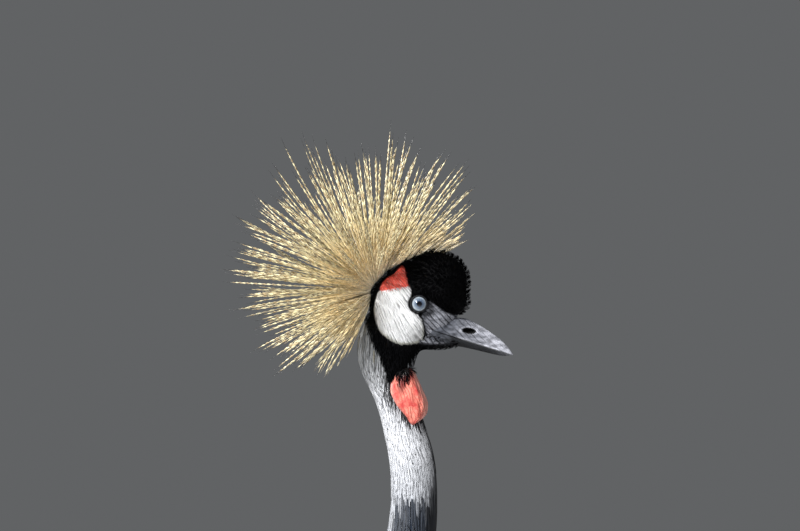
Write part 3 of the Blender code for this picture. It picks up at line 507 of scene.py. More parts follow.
def sums(tree, operation, *terms):
    """A math node over one to three numbers or sockets."""
    return node(tree, "ShaderNodeMath", dict(enumerate(terms)), operation=operation).outputs[0]


def blend_colours(tree, share, under, over, kind="MIX"):
    mix = node(tree, "ShaderNodeMix", {0: share, 6: under, 7: over}, data_type="RGBA", blend_type=kind)
    return mix.outputs[2]


def shaded(tree, colour, shade):
    """The colour, darker where the shade is under one and lighter where it is over one."""
    grey = node(tree, "ShaderNodeCombineColor", {0: shade, 1: shade, 2: shade}).outputs[0]
    return blend_colours(tree, 1.0, colour, grey, "MULTIPLY")


def carried(tree, name, kind="Fac"):
    """What a mesh carries at each of its points under that name."""
    return node(tree, "ShaderNodeAttribute", attribute_name=name).outputs[kind]


def here_on(tree):
    """The place of each spot of a surface, in metres."""
    return node(tree, "ShaderNodeTexCoord").outputs["Object"]


def clouds(tree, scale, detail, roughness=0.5, place=None):
    """Soft clouds from nothing to one, about that many to a metre."""
    spot = here_on(tree) if place is None else place
    inputs = {"Vector": spot, "Scale": scale, "Detail": detail, "Roughness": roughness}
    return node(tree, "ShaderNodeTexNoise", inputs).outputs["Fac"]


def cells(tree, scale, **settings):
    """Small rounded cells, about that many to a metre: how far each spot lies from one's middle or edge."""
    inputs = {"Vector": here_on(tree), "Scale": scale}
    return node(tree, "ShaderNodeTexVoronoi", inputs, **settings).outputs["Distance"]


def ranged(tree, value, low, high, at_low, at_high, **settings):
    """Runs from one number where the value is low to another where it is high, and holds them beyond."""
    inputs = {0: value, 1: low, 2: high, 3: at_low, 4: at_high}
    return node(tree, "ShaderNodeMapRange", inputs, **settings).outputs[0]


def dyed(tree, shader, colour):
    tree.links.new(colour, shader.inputs["Base Color"])


def new_finish(name, roughness, **values):
    """A material with its Principled shader, whose plain values are set on its own sockets."""
    made = bpy.data.materials.new(name)
    made.use_nodes = True
    shader = made.node_tree.nodes["Principled BSDF"]
    shader.inputs["Roughness"].default_value = roughness
    for key, value in values.items():
        shader.inputs[key.replace("_", " ")].default_value = value
    return made, made.node_tree, shader


def new_group(name, inputs, outputs):
    """A shader node group with named inputs and outputs: name, kind of socket, first value."""
    group = bpy.data.node_groups.new(name, "ShaderNodeTree")
    for label, kind, value in inputs:
        socket = group.interface.new_socket(label, in_out="INPUT", socket_type="NodeSocket" + kind)
        socket.default_value = value
    for label, kind in outputs:
        group.interface.new_socket(label, in_out="OUTPUT", socket_type="NodeSocket" + kind)
    return group, node(group, "NodeGroupInput").outputs, node(group, "NodeGroupOutput").inputs


def use_group(tree, group, inputs):
    return node(tree, "ShaderNodeGroup", inputs, node_tree=group).outputs


def bump(tree, shader, height, strength, distance):
    made = node(tree, "ShaderNodeBump", {"Strength": strength, "Distance": distance, "Height": height})
    tree.links.new(made.outputs[0], shader.inputs["Normal"])
    return made


# Fine grooves side by side, straight but for a slight wander and broken here and there, as they are pressed
# in the cheek, the bill and the pouch.
grooves, given, out = new_group(
    "fine grooves",
    [("Count", "Float", 0.0), ("Width", "Float", 0.2), ("Wander", "Float", 0.3), ("Break up", "Float", 0.5)],
    [("Groove", "Float")],
)
wander = sums(grooves, "SUBTRACT", clouds(grooves, 90.0, 2.0), 0.5)
bent = sums(grooves, "MULTIPLY_ADD", wander, given["Wander"], given["Count"])
past_line = sums(grooves, "FRACT", sums(grooves, "ADD", bent, 0.5))
away = sums(grooves, "ABSOLUTE", sums(grooves, "SUBTRACT", past_line, 0.5))
line = ranged(grooves, away, 0.0, given["Width"], 1.0, 0.0, interpolation_type="SMOOTHSTEP")
gaps = ranged(grooves, clouds(grooves, 120.0, 1.0), 0.42, 0.66, 0.0, 1.0)
kept = sums(grooves, "SUBTRACT", 1.0, sums(grooves, "MULTIPLY", gaps, given["Break up"]))
grooves.links.new(sums(grooves, "MULTIPLY", line, kept), out["Groove"])

# Bare slate-grey skin and horn: clouded dark and light along the bill, with short fine black lines. The
# skin before the eye and the bill share it, so that one runs into the other.
SLATE_DARK, SLATE_LIGHT = (0.026, 0.029, 0.037, 1.0), (0.112, 0.120, 0.145, 1.0)
SLATE_PALE, SLATE_LINE = (0.62, 0.63, 0.70, 1.0), (0.005, 0.005, 0.006, 1.0)
slate, given, out = new_group(
    "slate horn",
    [("Lines", "Float", 0.0), ("Pale", "Float", 0.0), ("Width", "Float", 0.2), ("Break up", "Float", 0.75)],
    [("Color", "Color"), ("Height", "Float")],
)
stretched = node(slate, "ShaderNodeMapping", {
    "Vector": here_on(slate), "Rotation": (0.0, 0.45, 0.0), "Scale": (0.45, 1.0, 1.0),
}).outputs[0]
cloud = clouds(slate, 260.0, 4.0, 0.62, stretched)
clouded = ranged(slate, cloud, 0.38, 0.66, 0.0, 1.0)
tone = blend_colours(slate, clouded, SLATE_DARK, SLATE_LIGHT)
pale_share = sums(slate, "MULTIPLY", given["Pale"], sums(slate, "MULTIPLY_ADD", clouded, 0.7, 0.3))
tone = blend_colours(slate, pale_share, tone, SLATE_PALE)
lined = use_group(slate, grooves, {
    "Count": given["Lines"], "Width": given["Width"], "Wander": 0.9, "Break up": given["Break up"],
})["Groove"]
tone = blend_colours(slate, sums(slate, "MULTIPLY", lined, 0.92), tone, SLATE_LINE)
slate.links.new(tone, out["Color"])
slate.links.new(sums(slate, "SUBTRACT", sums(slate, "MULTIPLY", cloud, 0.5), lined), out["Height"])

CHEEK_LINE = (0.085, 0.083, 0.088, 1.0)
hide, tree, shader = new_finish("hide", 0.62, Specular_IOR_Level=0.12)
on_lores = carried(tree, "lore")
cheek_lines = use_group(tree, grooves, {
    "Count": carried(tree, "cheek line"), "Width": 0.20, "Wander": 0.50, "Break up": 0.78,
})["Groove"]
bare_lore = use_group(tree, slate, {
    "Lines": carried(tree, "lore line"), "Pale": 0.50, "Width": 0.24, "Break up": 0.45,
})
marks = sums(tree, "MULTIPLY", cheek_lines, carried(tree, "cheek"))
tone = blend_colours(tree, sums(tree, "MULTIPLY", marks, 0.85), carried(tree, "dye", "Color"), CHEEK_LINE)
tone = shaded(tree, tone, ranged(tree, clouds(tree, 130.0, 3.0), 0.3, 0.7, 0.86, 1.08))
dyed(tree, shader, blend_colours(tree, on_lores, tone, bare_lore["Color"]))
lore_height = sums(tree, "MULTIPLY", bare_lore["Height"], on_lores)
pores = sums(tree, "MULTIPLY_ADD", clouds(tree, 900.0, 3.0), 0.25, lore_height)
bump(tree, shader, sums(tree, "SUBTRACT", pores, marks), 0.6, 0.0004)


def clothe(piece, finish, slot_name, *nodes):
    """Finishes a piece, hangs it on the bird and hides the solids that it stands for."""
    piece.data.materials.clear()
    piece.data.materials.append(finish)
    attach(piece, "root")
    if nodes:
        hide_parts(*nodes)


clothe(skin, hide, "body_plumage", "head", "neck_upper", "neck_lower", "torso", "thigh_left", "thigh_right")

# The skin laid flat, so that each feather's colour can be kept at the place that it grows from.
bpy.ops.object.select_all(action="DESELECT")
bpy.context.view_layer.objects.active = skin
skin.select_set(True)
bpy.ops.object.mode_set(mode="EDIT")
bpy.ops.mesh.select_all(action="SELECT")
bpy.ops.uv.smart_project(angle_limit=1.15, island_margin=0.002)
bpy.ops.object.mode_set(mode="OBJECT")
skin.data.uv_layers[0].name = "OFBake"
skin.data.calc_loop_triangles()
triangle_count = len(skin.data.loop_triangles)
skin_corners = np.empty(triangle_count * 3, np.int32)
skin_loops = np.empty(triangle_count * 3, np.int32)
skin.data.loop_triangles.foreach_get("vertices", skin_corners)
skin.data.loop_triangles.foreach_get("loops", skin_loops)
flat_skin = np.empty(len(skin.data.loops) * 2, np.float32)
skin.data.uv_layers[0].uv.foreach_get("vector", flat_skin)
skin_flat = flat_skin.reshape(-1, 2)[skin_loops].reshape(-1, 3, 2).astype(float)
skin_places = vertex_array(skin.data)[skin_corners].reshape(-1, 3, 3)
skin_normals = normal_array(skin.data)[skin_corners].reshape(-1, 3, 3)
skin_edges = skin_places[:, 1:] - skin_places[:, :1]
skin_areas = np.linalg.norm(np.cross(skin_edges[:, 0], skin_edges[:, 1]), axis=1) / 2
skin_surface = BVHTree.FromPolygons(
    vertex_array(skin.data).tolist(), skin_corners.reshape(-1, 3).tolist(), all_triangles=True
)


def flat_near(places):
    """Where the skin nearest to each place lies when it is laid flat."""
    return np.array([skin_flat[skin_surface.find_nearest(place)[2]].mean(0) for place in places.tolist()])


# How the plumage lies: back over the crown, down the nape, throat and neck, and back along the body, as a
# hand would smooth it. Each mark is a place in the mid-plane and the way that the feathers point there.
LIE_ON_HEAD = (
    # forward, up; forward, up
    (45, -10, -0.2, 1.0), (42, 25, -0.45, 0.9), (15, 47, -1.0, 0.15), (-12, 32, -1.0, -0.2),
    (-44, 5, -0.35, -1.0), (-54, -35, 0.0, -1.0), (25, -36, -1.0, -0.25), (0, -42, -0.75, -0.8),
    (-8, -55, -0.15, -1.0), (-20, -10, 0.15, -1.0), (10, -12, 0.6, -0.75), (-48, -75, 0.3, -1.0),
    (-12, -114, 0.27, -1.0), (-4, -165, 0.02, -1.0), (-9, -220, -0.2, -1.0), (-30, -265, -0.45, -1.0),
)
LIE_ON_BODY = (
    # x, z; forward, up
    (0.03, 0.66, -1.0, -0.35), (-0.05, 0.64, -1.0, -0.18), (-0.17, 0.60, -1.0, -0.35),
    (0.14, 0.60, -0.15, -1.0), (0.15, 0.54, -0.35, -1.0), (0.08, 0.47, -0.9, -0.45), (0.0, 0.45, -0.8, -0.5),
    (-0.12, 0.46, -1.0, -0.1), (-0.20, 0.47, -1.0, -0.35), (0.0, 0.40, -0.25, -1.0),
    (-0.035, 0.35, -0.12, -1.0), (0.0, 0.55, -1.0, -0.3), (0.0, 0.48, -0.55, -0.85),
    (-0.02, 0.44, -0.3, -1.0),
)
marks_on_head = [(*at_head(f, u).xz, a, b) for f, u, a, b in LIE_ON_HEAD]
lie_marks = np.array(marks_on_head + [(x + BODY_X, z, a, b) for x, z, a, b in LIE_ON_BODY])


def flattened(ways, outs):
    """The ways with what points out of the surface taken off."""
    return ways - outs * (ways * outs).sum(1, keepdims=True)


def lie_of(places, outs):
    """The way that the plumage lies at each place, along the skin."""
    apart = np.linalg.norm(places[:, None, [0, 2]] - lie_marks[None, :, :2], axis=-1)
    near = 1 / (apart + 0.004) ** 3.5
    way = (near[..., None] * unit(lie_marks[:, 2:])[None]).sum(1) / near.sum(1, keepdims=True)
    return unit(flattened(np.stack([way[:, 0], np.zeros(len(way)), way[:, 1]], -1), outs))


def spread_apart(places, spacing):
    """Which places to keep, so that none lies nearer to another than the spacing."""
    boxes, kept = {}, []
    around = [(i, j, k) for i in (-1, 0, 1) for j in (-1, 0, 1) for k in (-1, 0, 1)]
    for index, (x, y, z) in enumerate((places / spacing).tolist()):
        box = (math.floor(x), math.floor(y), math.floor(z))
        crowded = any(
            (x - px) ** 2 + (y - py) ** 2 + (z - pz) ** 2 < 1
            for i, j, k in around for px, py, pz in boxes.get((box[0] + i, box[1] + j, box[2] + k), ())
        )
        if not crowded:
            boxes.setdefault(box, []).append((x, y, z))
            kept.append(index)
    return kept


def roots_where(chosen, spacing, seed):
    """Evenly spaced roots on the skin, and the random draw for what grows from them.

    Each root has its place, the way out of the skin there, and where it lies on the skin laid flat.
    """
    draw = np.random.default_rng(seed)
    weight = skin_areas * chosen(skin_places.mean(1))
    count = int(2.4 * weight.sum() / spacing**2)
    picked = draw.choice(len(weight), count, p=weight / weight.sum())
    a, b = np.sqrt(draw.random(count)), draw.random(count)
    shares = np.stack([1 - a, a * (1 - b), a * b], -1)[..., None]
    places = (skin_places[picked] * shares).sum(1)
    kept = spread_apart(places, spacing)
    outs = unit((skin_normals[picked] * shares).sum(1))
    flat = (skin_flat[picked] * shares).sum(1)
    return places[kept], outs[kept], flat[kept], np.random.default_rng(seed + 1)


def bowed(root, middle, tip, t):
    """Places along a bowed line from root to tip, which passes through the middle half way."""
    return root * (1 - t) * (1 - 2 * t) + middle * 4 * t * (1 - t) + tip * t * (2 * t - 1)


# How wide a patch of the skin laid flat each feather's colour is kept on, as a share of the whole.
PATCH = 0.003


def plumes(name, roots, middles, tips, outs, tip_outs, half_width, depth, form, dyes, flat):
    """One piece with a closed, ridged plume from each root, through its middle, to its tip.

    The form gives, for each section, how far along the plume it is and its share of the width. Dyes are the
    colours of the root and of the rest of each plume.
    """
    count = len(roots)
    share = np.array([t for t, _ in form])
    wide = np.array([w for _, w in form])
    half_width = np.broadcast_to(half_width, count)[:, None, None]
    t = share[None, :, None]
    line = bowed(roots[:, None], middles[:, None], tips[:, None], t)
    out = unit(between(outs[:, None], tip_outs[:, None], t))
    run = between(unit(middles - roots)[:, None], unit(tips - middles)[:, None], t)
    across = unit(np.cross(run, out))
    over = np.cross(across, run)
    reach = half_width * wide[None, :, None]
    ridge = line + over * depth * wide[None, :, None] ** 0.5
    sections = np.stack([line - across * reach, ridge, line + across * reach], 2)
    points = np.concatenate([roots[:, None], sections.reshape(count, -1, 3), tips[:, None]], 1)
    size = points.shape[1]
    faces = [(0, 2, 1), (0, 3, 2), (0, 1, 3)]
    for k in range(len(form) - 1):
        a = 1 + 3 * k
        for i, j in ((0, 1), (1, 2), (2, 0)):
            faces += [(a + i, a + j, a + 3 + j), (a + i, a + 3 + j, a + 3 + i)]
    last = size - 4
    faces += [(last + i, last + j, size - 1) for i, j in ((0, 1), (1, 2), (2, 0))]
    length = np.linalg.norm(middles - roots, axis=1) + np.linalg.norm(tips - middles, axis=1)
    along = np.r_[0.0, np.repeat(share, 3), 1.0]
    sideways = np.r_[0.0, (wide[:, None] * [-1, 0, 1]).ravel(), 0.0]
    vane = np.stack([sideways[None] * half_width[:, :, 0] / MM, along[None] * length[:, None] / MM], -1)
    spot = flat[:, None] + np.stack([sideways * 0.5, along - 0.5], -1)[None] * PATCH
    rooted, rest = dyes
    along = along[None, :, None]
    colour = between(rooted[:, None], rest[:, None], along)
    piece = joined(name, points, np.array(faces), vane, spot, colour)
    outward = unit(between(outs[:, None], tip_outs[:, None], along))
    layer = piece.data.attributes.new(name="outward", type="FLOAT_VECTOR", domain="POINT")
    layer.data.foreach_set("vector", outward.astype(np.float32).ravel())
    return piece


def joined(name, points, faces, vane, spot, colour):
    """One mesh object of many feathers with the same faces, with their vane and bake maps and dyes."""
    mesh = bpy.data.meshes.new(name)
    count, sides = len(points), faces.shape[1]
    points, vane, spot = points.reshape(-1, 3), vane.reshape(-1, 2), spot.reshape(-1, 2)
    first_points = np.arange(count) * (len(points) // count)
    corners = (faces.ravel()[None] + first_points[:, None]).astype(np.int32).ravel()
    mesh.vertices.add(len(points))
    mesh.vertices.foreach_set("co", points.astype(np.float32).ravel())
    mesh.loops.add(len(corners))
    mesh.loops.foreach_set("vertex_index", corners)
    mesh.polygons.add(len(corners) // sides)
    mesh.polygons.foreach_set("loop_start", np.arange(0, len(corners), sides, dtype=np.int32))
    mesh.update(calc_edges=True)
    for label, places in (("vane", vane), ("OFBake", spot)):
        mesh.uv_layers.new(name=label).uv.foreach_set("vector", places[corners].astype(np.float32).ravel())
    paint(mesh, colour.reshape(-1, 3))
    mesh.shade_smooth()
    piece = bpy.data.objects.new(name, mesh)
    bpy.context.scene.collection.objects.link(piece)
    return piece


def skin_near(places):
    """The places on the skin nearest to the given ones, and the way out of it there."""
    found = [skin_surface.find_nearest(place)[:2] for place in places.tolist()]
    return (np.array([tuple(pair[k]) for pair in found]) for k in (0, 1))


def laid_on_skin(roots, aims, length, lift_middle, lift_tip):
    """Middles and tips of plumes that lie along the skin, and the way out of the skin under each tip."""
    found = []
    for share, lift in ((0.5, lift_middle), (1.0, lift_tip)):
        places, normals = skin_near(roots + aims * (length * share)[:, None])
        found.append(places + normals * lift)
    return (*found, unit(normals))


# Barbs combed slantwise from each feather's shaft, as they grow: read from its vane map in millimetres, so
# that they follow the feather wherever it bends.
barbs, given, out = new_group(
    "feather barbs",
    [("Spacing", "Float", 0.6), ("Slant", "Float", 1.1), ("Shaft", "Float", 0.3)],
    [("Barb", "Float"), ("Shaft", "Float")],
)
vane_place = node(barbs, "ShaderNodeUVMap", uv_map="vane").outputs[0]
vane_place = node(barbs, "ShaderNodeSeparateXYZ", {0: vane_place}).outputs
from_shaft = sums(barbs, "ABSOLUTE", vane_place["X"])
combed = sums(barbs, "SUBTRACT", vane_place["Y"], sums(barbs, "MULTIPLY", from_shaft, given["Slant"]))
turn = sums(barbs, "DIVIDE", sums(barbs, "MULTIPLY", combed, math.tau), given["Spacing"])
barbs.links.new(sums(barbs, "MULTIPLY_ADD", sums(barbs, "SINE", turn), 0.5, 0.5), out["Barb"])
barbs.links.new(ranged(barbs, from_shaft, 0.0, given["Shaft"], 1.0, 0.0), out["Shaft"])


def feather_finish(name, roughness, spacing, depth, shaft, shaft_share, silky=0.0, **values):
    """Feathers that carry their own dye, with barbs and a shaft.

    The silkier they are, the more they take the light together, as one surface with the skin under them.
    """
    made, tree, shader = new_finish(name, roughness, Sheen_Roughness=0.5, **values)
    combed = use_group(tree, barbs, {"Spacing": spacing, "Slant": 1.1, "Shaft": shaft})
    shade = ranged(tree, clouds(tree, 160.0, 3.0), 0.3, 0.7, 0.82, 1.14)
    shade = sums(tree, "MULTIPLY", shade, sums(tree, "MULTIPLY_ADD", combed["Barb"], 0.22, 0.84))
    shade = sums(tree, "MULTIPLY", shade, sums(tree, "MULTIPLY_ADD", combed["Shaft"], shaft_share, 1.0))
    dyed(tree, shader, shaded(tree, carried(tree, "dye", "Color"), shade))
    height = sums(tree, "ADD", combed["Barb"], sums(tree, "MULTIPLY", combed["Shaft"], 2.0))
    relief = bump(tree, shader, height, 0.5, depth)
    own, together = node(tree, "ShaderNodeNewGeometry").outputs["Normal"], carried(tree, "outward", "Vector")
    shared = node(tree, "ShaderNodeMix", {0: silky, 4: own, 5: together}, data_type="VECTOR").outputs[1]
    facing = node(tree, "ShaderNodeVectorMath", {0: shared}, operation="NORMALIZE").outputs[0]
    tree.links.new(facing, relief.inputs["Normal"])
    return made


def varied(draw, dye, spread):
    """Each plume's dye, a little lighter or darker than its neighbour's."""
    return dye * (1 + draw.uniform(-spread, spread, len(dye)))[:, None]


# The velvet cap: short black plush over the forehead, crown and the rim behind the cheek. It stands half
# up, and is trimmed to one smooth outline.
VELVET_LENGTH, VELVET_HALF_WIDTH, VELVET_DEPTH = 5.0 * MM, 0.42 * MM, 0.14 * MM
VELVET_APART, CLUMP = 0.85 * MM, 2.6 * MM
velvet = feather_finish("velvet plush", 1.0, 0.5, 0.00005, 0.05, 0.0, 0.7, Specular_IOR_Level=0.0)


def clumped(roots, tips, spacing, pull, seed):
    """Leans the tips of neighbouring plumes together into small clumps."""
    order = np.random.default_rng(seed).permutation(len(roots))
    centres = order[spread_apart(roots[order], spacing)]
    tree = KDTree(len(centres))
    for index, centre in enumerate(centres):
        tree.insert(roots[centre], index)
    tree.balance()
    nearest = centres[[tree.find(root)[1] for root in roots]]
    return tips + (tips[nearest] - tips) * pull


def on_cap(places):
    forward, up, side = head_plane(places)
    cheek, temple, lore, _ = parts_of_face(places)
    plush = (into_black_and_shadow(forward, up) > 0) & (up > -24) & (cheek + temple + lore < 0.5)
    return plush & ((np.hypot(forward, up) > 9.2) | (side < 10))


roots, outs, flat, draw = roots_where(on_cap, VELVET_APART, 21)
forward, up, side = head_plane(roots)
aims = unit(lie_of(roots, outs) * 0.55 + outs * 0.9 + draw.normal(0, 0.14, roots.shape))
beside_face = ramp(-np.maximum(inside(forward, up, CHEEK), inside(forward, up, TEMPLE)), 0.5, 7)
collar = ramp(-forward, 0, 8) * ramp(up, 14, 22) * ramp(beside_face, 0.0, 0.4)
length = VELVET_LENGTH * draw.uniform(0.80, 1.05, len(roots)) * (0.42 + 0.58 * beside_face + 0.45 * collar)
length *= 0.5 + 0.5 * ramp(np.hypot(forward, up), 9, 17)
tips = clumped(roots, roots + aims * length[:, None], CLUMP, 0.55, 23)
middles = (roots + tips) / 2 + outs * (length * 0.12)[:, None]
dyes = varied(draw, np.tile(np.array(BLACK) * 0.55, (len(roots), 1)), 0.3)
cap = plumes("cap", roots - outs * 0.3 * MM, middles, tips, outs, outs, VELVET_HALF_WIDTH, VELVET_DEPTH,
             ((0.30, 1.0), (0.78, 0.8)), (dyes * 0.8, dyes), flat)
clothe(cap, velvet, "head_plumage")

# The face: minute white down combed along the cheek's grooves, red down on the temple, and black bristles
# over the bare slate skin in front of the eye. They are the smallest feathers on the bird.
DOWN_APART, DOWN_HALF_WIDTH, DOWN_DEPTH = 0.85 * MM, 0.22 * MM, 0.10 * MM
LORE_APART, LORE_HALF_WIDTH = 1.25 * MM, 0.13 * MM
BRIGHTEST_DYE = 0.92
face_down = feather_finish("face down", 0.75, 0.5, 0.00004, 0.05, 0.0, 0.6, Specular_IOR_Level=0.3)


def on_cheek_ridges(places):
    cheek, temple, _, _ = parts_of_face(places)
    on_ridges = near_line(cheek_line(places), 0.24) < 0.30
    return (cheek + temple > 0.6) & (np.abs(places[:, 1]) > 4 * MM) & on_ridges


roots, outs, flat, draw = roots_where(on_cheek_ridges, DOWN_APART, 31)
forward, up, _ = head_plane(roots)
run = np.stack([forward - CHEEK_FAN[0], 0 * up, up - CHEEK_FAN[1]], 1)
aims = unit(flattened(run, outs))
_, temple, _, _ = parts_of_face(roots)
length = (2.4 + 1.6 * temple) * MM * draw.uniform(0.8, 1.2, len(roots))
middles, tips, tip_outs = laid_on_skin(roots, aims, length, 0.26 * MM, 0.20 * MM)
dyes = varied(draw, dye_at(roots), 0.04)
red = dyes * draw.choice([0.35, 0.8, 1.0, 1.3], len(roots), p=[0.22, 0.26, 0.32, 0.20])[:, None]
pink = (draw.random(len(roots)) < 0.16)[:, None] & (temple > 0.5)[:, None]
dyes = np.where((temple > 0.5)[:, None], red, dyes)
dyes = np.where(pink, np.array(TEMPLE_PINK), dyes)
tip_dyes = np.minimum(dyes * 1.03, BRIGHTEST_DYE)
cheek_down = plumes("cheek_down", roots - outs * 0.1 * MM, middles, tips, outs, tip_outs, DOWN_HALF_WIDTH,
                    DOWN_DEPTH, ((0.25, 1.0), (0.75, 0.75)), (dyes * 0.96, tip_dyes), flat)
clothe(cheek_down, face_down, "head_plumage")


def on_lore(places):
    return parts_of_face(places)[2] > 0.5


roots, outs, flat, draw = roots_where(on_lore, LORE_APART, 41)
run = np.tile([LORE_RUN[0], 0.0, LORE_RUN[1]], (len(roots), 1)) + draw.normal(0, 0.12, roots.shape)
aims = unit(flattened(run, outs))
along, _ = bill_plane(roots)
farther = ramp(along, 4, 16)
length = draw.uniform(1.6, 3.0, len(roots)) * (1 + 0.9 * farther) * MM
middles, tips, tip_outs = laid_on_skin(roots, aims, length, 0.30 * MM, 0.30 * MM)
tips += tip_outs * (farther * 0.5 * MM)[:, None]
dyes = np.array(BLACK) * draw.uniform(0.8, 7.0, len(roots))[:, None]
bristles = plumes("lore_bristles", roots - outs * 0.1 * MM, middles, tips, outs, tip_outs, LORE_HALF_WIDTH,
                  DOWN_DEPTH, ((0.2, 1.0), (0.7, 0.7)), (dyes, dyes), flat)
clothe(bristles, face_down, "head_plumage")


# The throat and the rim below the cheek: soft black feathers that run down under the chin and dip over the
# top of the red pouch, with one small pale tuft at the front.
def on_throat(places):
    forward, up, _ = head_plane(places)
    cheek, temple, lore, _ = parts_of_face(places)
    return (into_black_and_shadow(forward, up) > -1) & (up <= -22) & (up > -66) & (cheek + temple + lore < 0.5)


THROAT_APART, THROAT_HALF_WIDTH, THROAT_DEPTH = 1.35 * MM, 0.55 * MM, 0.18 * MM
roots, outs, flat, draw = roots_where(on_throat, THROAT_APART, 51)
forward, up, _ = head_plane(roots)
aims = unit(lie_of(roots, outs) + outs * 0.12 + draw.normal(0, 0.10, roots.shape))
length = draw.uniform(5.0, 8.5, len(roots)) * MM * (1 - 0.45 * ramp(forward, 5, 30))
middles, tips, tip_outs = laid_on_skin(roots, aims, length, 1.3 * MM, 1.6 * MM)
pale = (parts_of_face(tips)[3] > 0.3) & (draw.random(len(roots)) < 0.7)
dyes = np.where(pale[:, None], np.array(NECK_GREY) * 0.8, np.array(BLACK) * 0.7)
dyes = varied(draw, dyes, 0.4)
throat = plumes("throat_feathers", roots - outs * 0.3 * MM, middles, tips, outs, tip_outs, THROAT_HALF_WIDTH,
                THROAT_DEPTH, ((0.2, 0.8), (0.6, 1.0)), (dyes * 0.8, dyes), flat)
clothe(throat, velvet, "head_plumage")

# The neck: narrow pale hackles that overlap down its length, with darker shafts and streaks among them, and
# speckled dark where they run into the black of the throat; below the pouch they are black with the pouch's
# painted shadow. A band of painted shade runs down the front, and the lower neck darkens to slate, deepened
# with painted shade.
HACKLE_DEPTH = 0.035 * MM
HACKLE_FORM = ((0.10, 0.65), (0.35, 1.0), (0.65, 0.90), (0.88, 0.50))
hackle = feather_finish("neck hackle", 0.62, 0.7, 0.00003, 0.16, -0.09, 0.9, Sheen_Weight=0.1)


def on_neck(places):
    forward, up, _ = head_plane(places)
    return (into_black_and_shadow(forward, up) < 0.5) | (up < -66)


def on_upper_neck(places):
    up = head_plane(places)[1]
    return on_neck(places) * (up > -160) * (up < 22)


def on_lower_neck(places):
    up = head_plane(places)[1]
    return on_neck(places) * (up <= -160) * (up > -330) * (places[:, 0] - BODY_X > 0.02)


def streaks(places):
    """Long soft streaks down the neck, from minus one to one, a few millimetres apart."""
    up = head_plane(places)[1]
    across = before_neck_line(places)
    broad = np.sin(across * 1.15 + 1.4 * np.sin(up / 23.0) + 0.6)
    fine = np.sin(across * 2.9 + 1.1 * np.sin(up / 11.0 + 2.0) + np.sign(places[:, 1]))
    return 0.55 * broad + 0.45 * fine


def neck_piece(name, chosen, spacing, long, half_width, seed):
    roots, outs, flat, draw = roots_where(chosen, spacing, seed)
    aims = unit(lie_of(roots, outs) + outs * 0.03 + draw.normal(0, 0.035, roots.shape))
    length = long * draw.uniform(0.7, 1.15, len(roots))
    lift = 1 + 0.35 * draw.random(len(roots))[:, None]
    middles, tips, tip_outs = laid_on_skin(roots, aims, length, 0.17 * MM, 0.26 * MM * lift)
    ends = roots + aims * (length * draw.uniform(0.55, 1.0, len(roots)))[:, None]
    forward, up, _ = head_plane(ends)
    streaky = 1 + (0.05 + 0.2 * (1 - ramp(up, -190, -170))) * streaks(middles)
    dyes = dye_at(ends) * streaky[:, None]
    # Below the pouch the black widens to take in the pouch's painted shadow.
    depth_in_black_and_shadow = into_black_and_shadow(forward, up) + 3.0 * (1 - ramp(up, -106, -98))
    streak = draw.random(len(roots))
    dark_streak = ramp(-streaks(middles), 0.15, 0.6) * ramp(up, -108, -66)
    speckled = ramp(depth_in_black_and_shadow, -13, 0) * (1 - 0.6 * ramp(-up, 60, 75))
    black_and_shadowed = (streak > 1 - 0.60 * speckled) | ((depth_in_black_and_shadow > 0.0) & (up > -119))
    dyes = np.where((streak < 0.55 * dark_streak)[:, None], dyes * 0.45, dyes)
    dyes = np.where(black_and_shadowed[:, None], np.array(NECK_DARK_AND_SHADOW) * 0.3, dyes)
    straw = draw.random(len(roots)) < 0.35 * ramp(up, -60, -10)
    dyes = np.where(straw[:, None], dyes * np.array(STRAW_TINT), dyes)
    dyes = varied(draw, dyes, 0.05)
    rooted = 0.4 * dyes + 0.54 * dye_at(roots)
    rooted = rooted + (0.9 * dyes - rooted) * (1 - ramp(up, -200, -176))[:, None]
    return plumes(name, roots - outs * 0.4 * MM, middles, tips, outs, tip_outs, half_width, HACKLE_DEPTH,
                  HACKLE_FORM, (rooted, dyes), flat)


upper_neck = neck_piece("neck_hackles", on_upper_neck, 2.1 * MM, 25 * MM, 0.82 * MM, 61)
lower_neck = neck_piece("neck_hackles_low", on_lower_neck, 3.1 * MM, 38 * MM, 1.35 * MM, 63)
for piece in (upper_neck, lower_neck):
    clothe(piece, hackle, "neck_plumage")

# The body's contour feathers: grey, rounded and overlapping like tiles over the breast, back, belly and
# flanks, and smaller and closer down the thighs.
CONTOUR_DEPTH = 0.22 * MM
THIGH_TOP_Z = 0.47
contour = feather_finish("contour feather", 0.72, 0.9, 0.00010, 0.30, -0.22, 0.75, Sheen_Weight=0.12)
ROUNDED = ((0.06, 0.22), (0.20, 0.52), (0.42, 0.92), (0.66, 1.0), (0.83, 0.84), (0.94, 0.52))


def on_body(places):
    _, up, _ = head_plane(places)
    return ((up <= -318) | (places[:, 0] - BODY_X <= 0.03)) & (places[:, 2] > THIGH_TOP_Z)


def on_thighs(places):
    return places[:, 2] <= THIGH_TOP_Z


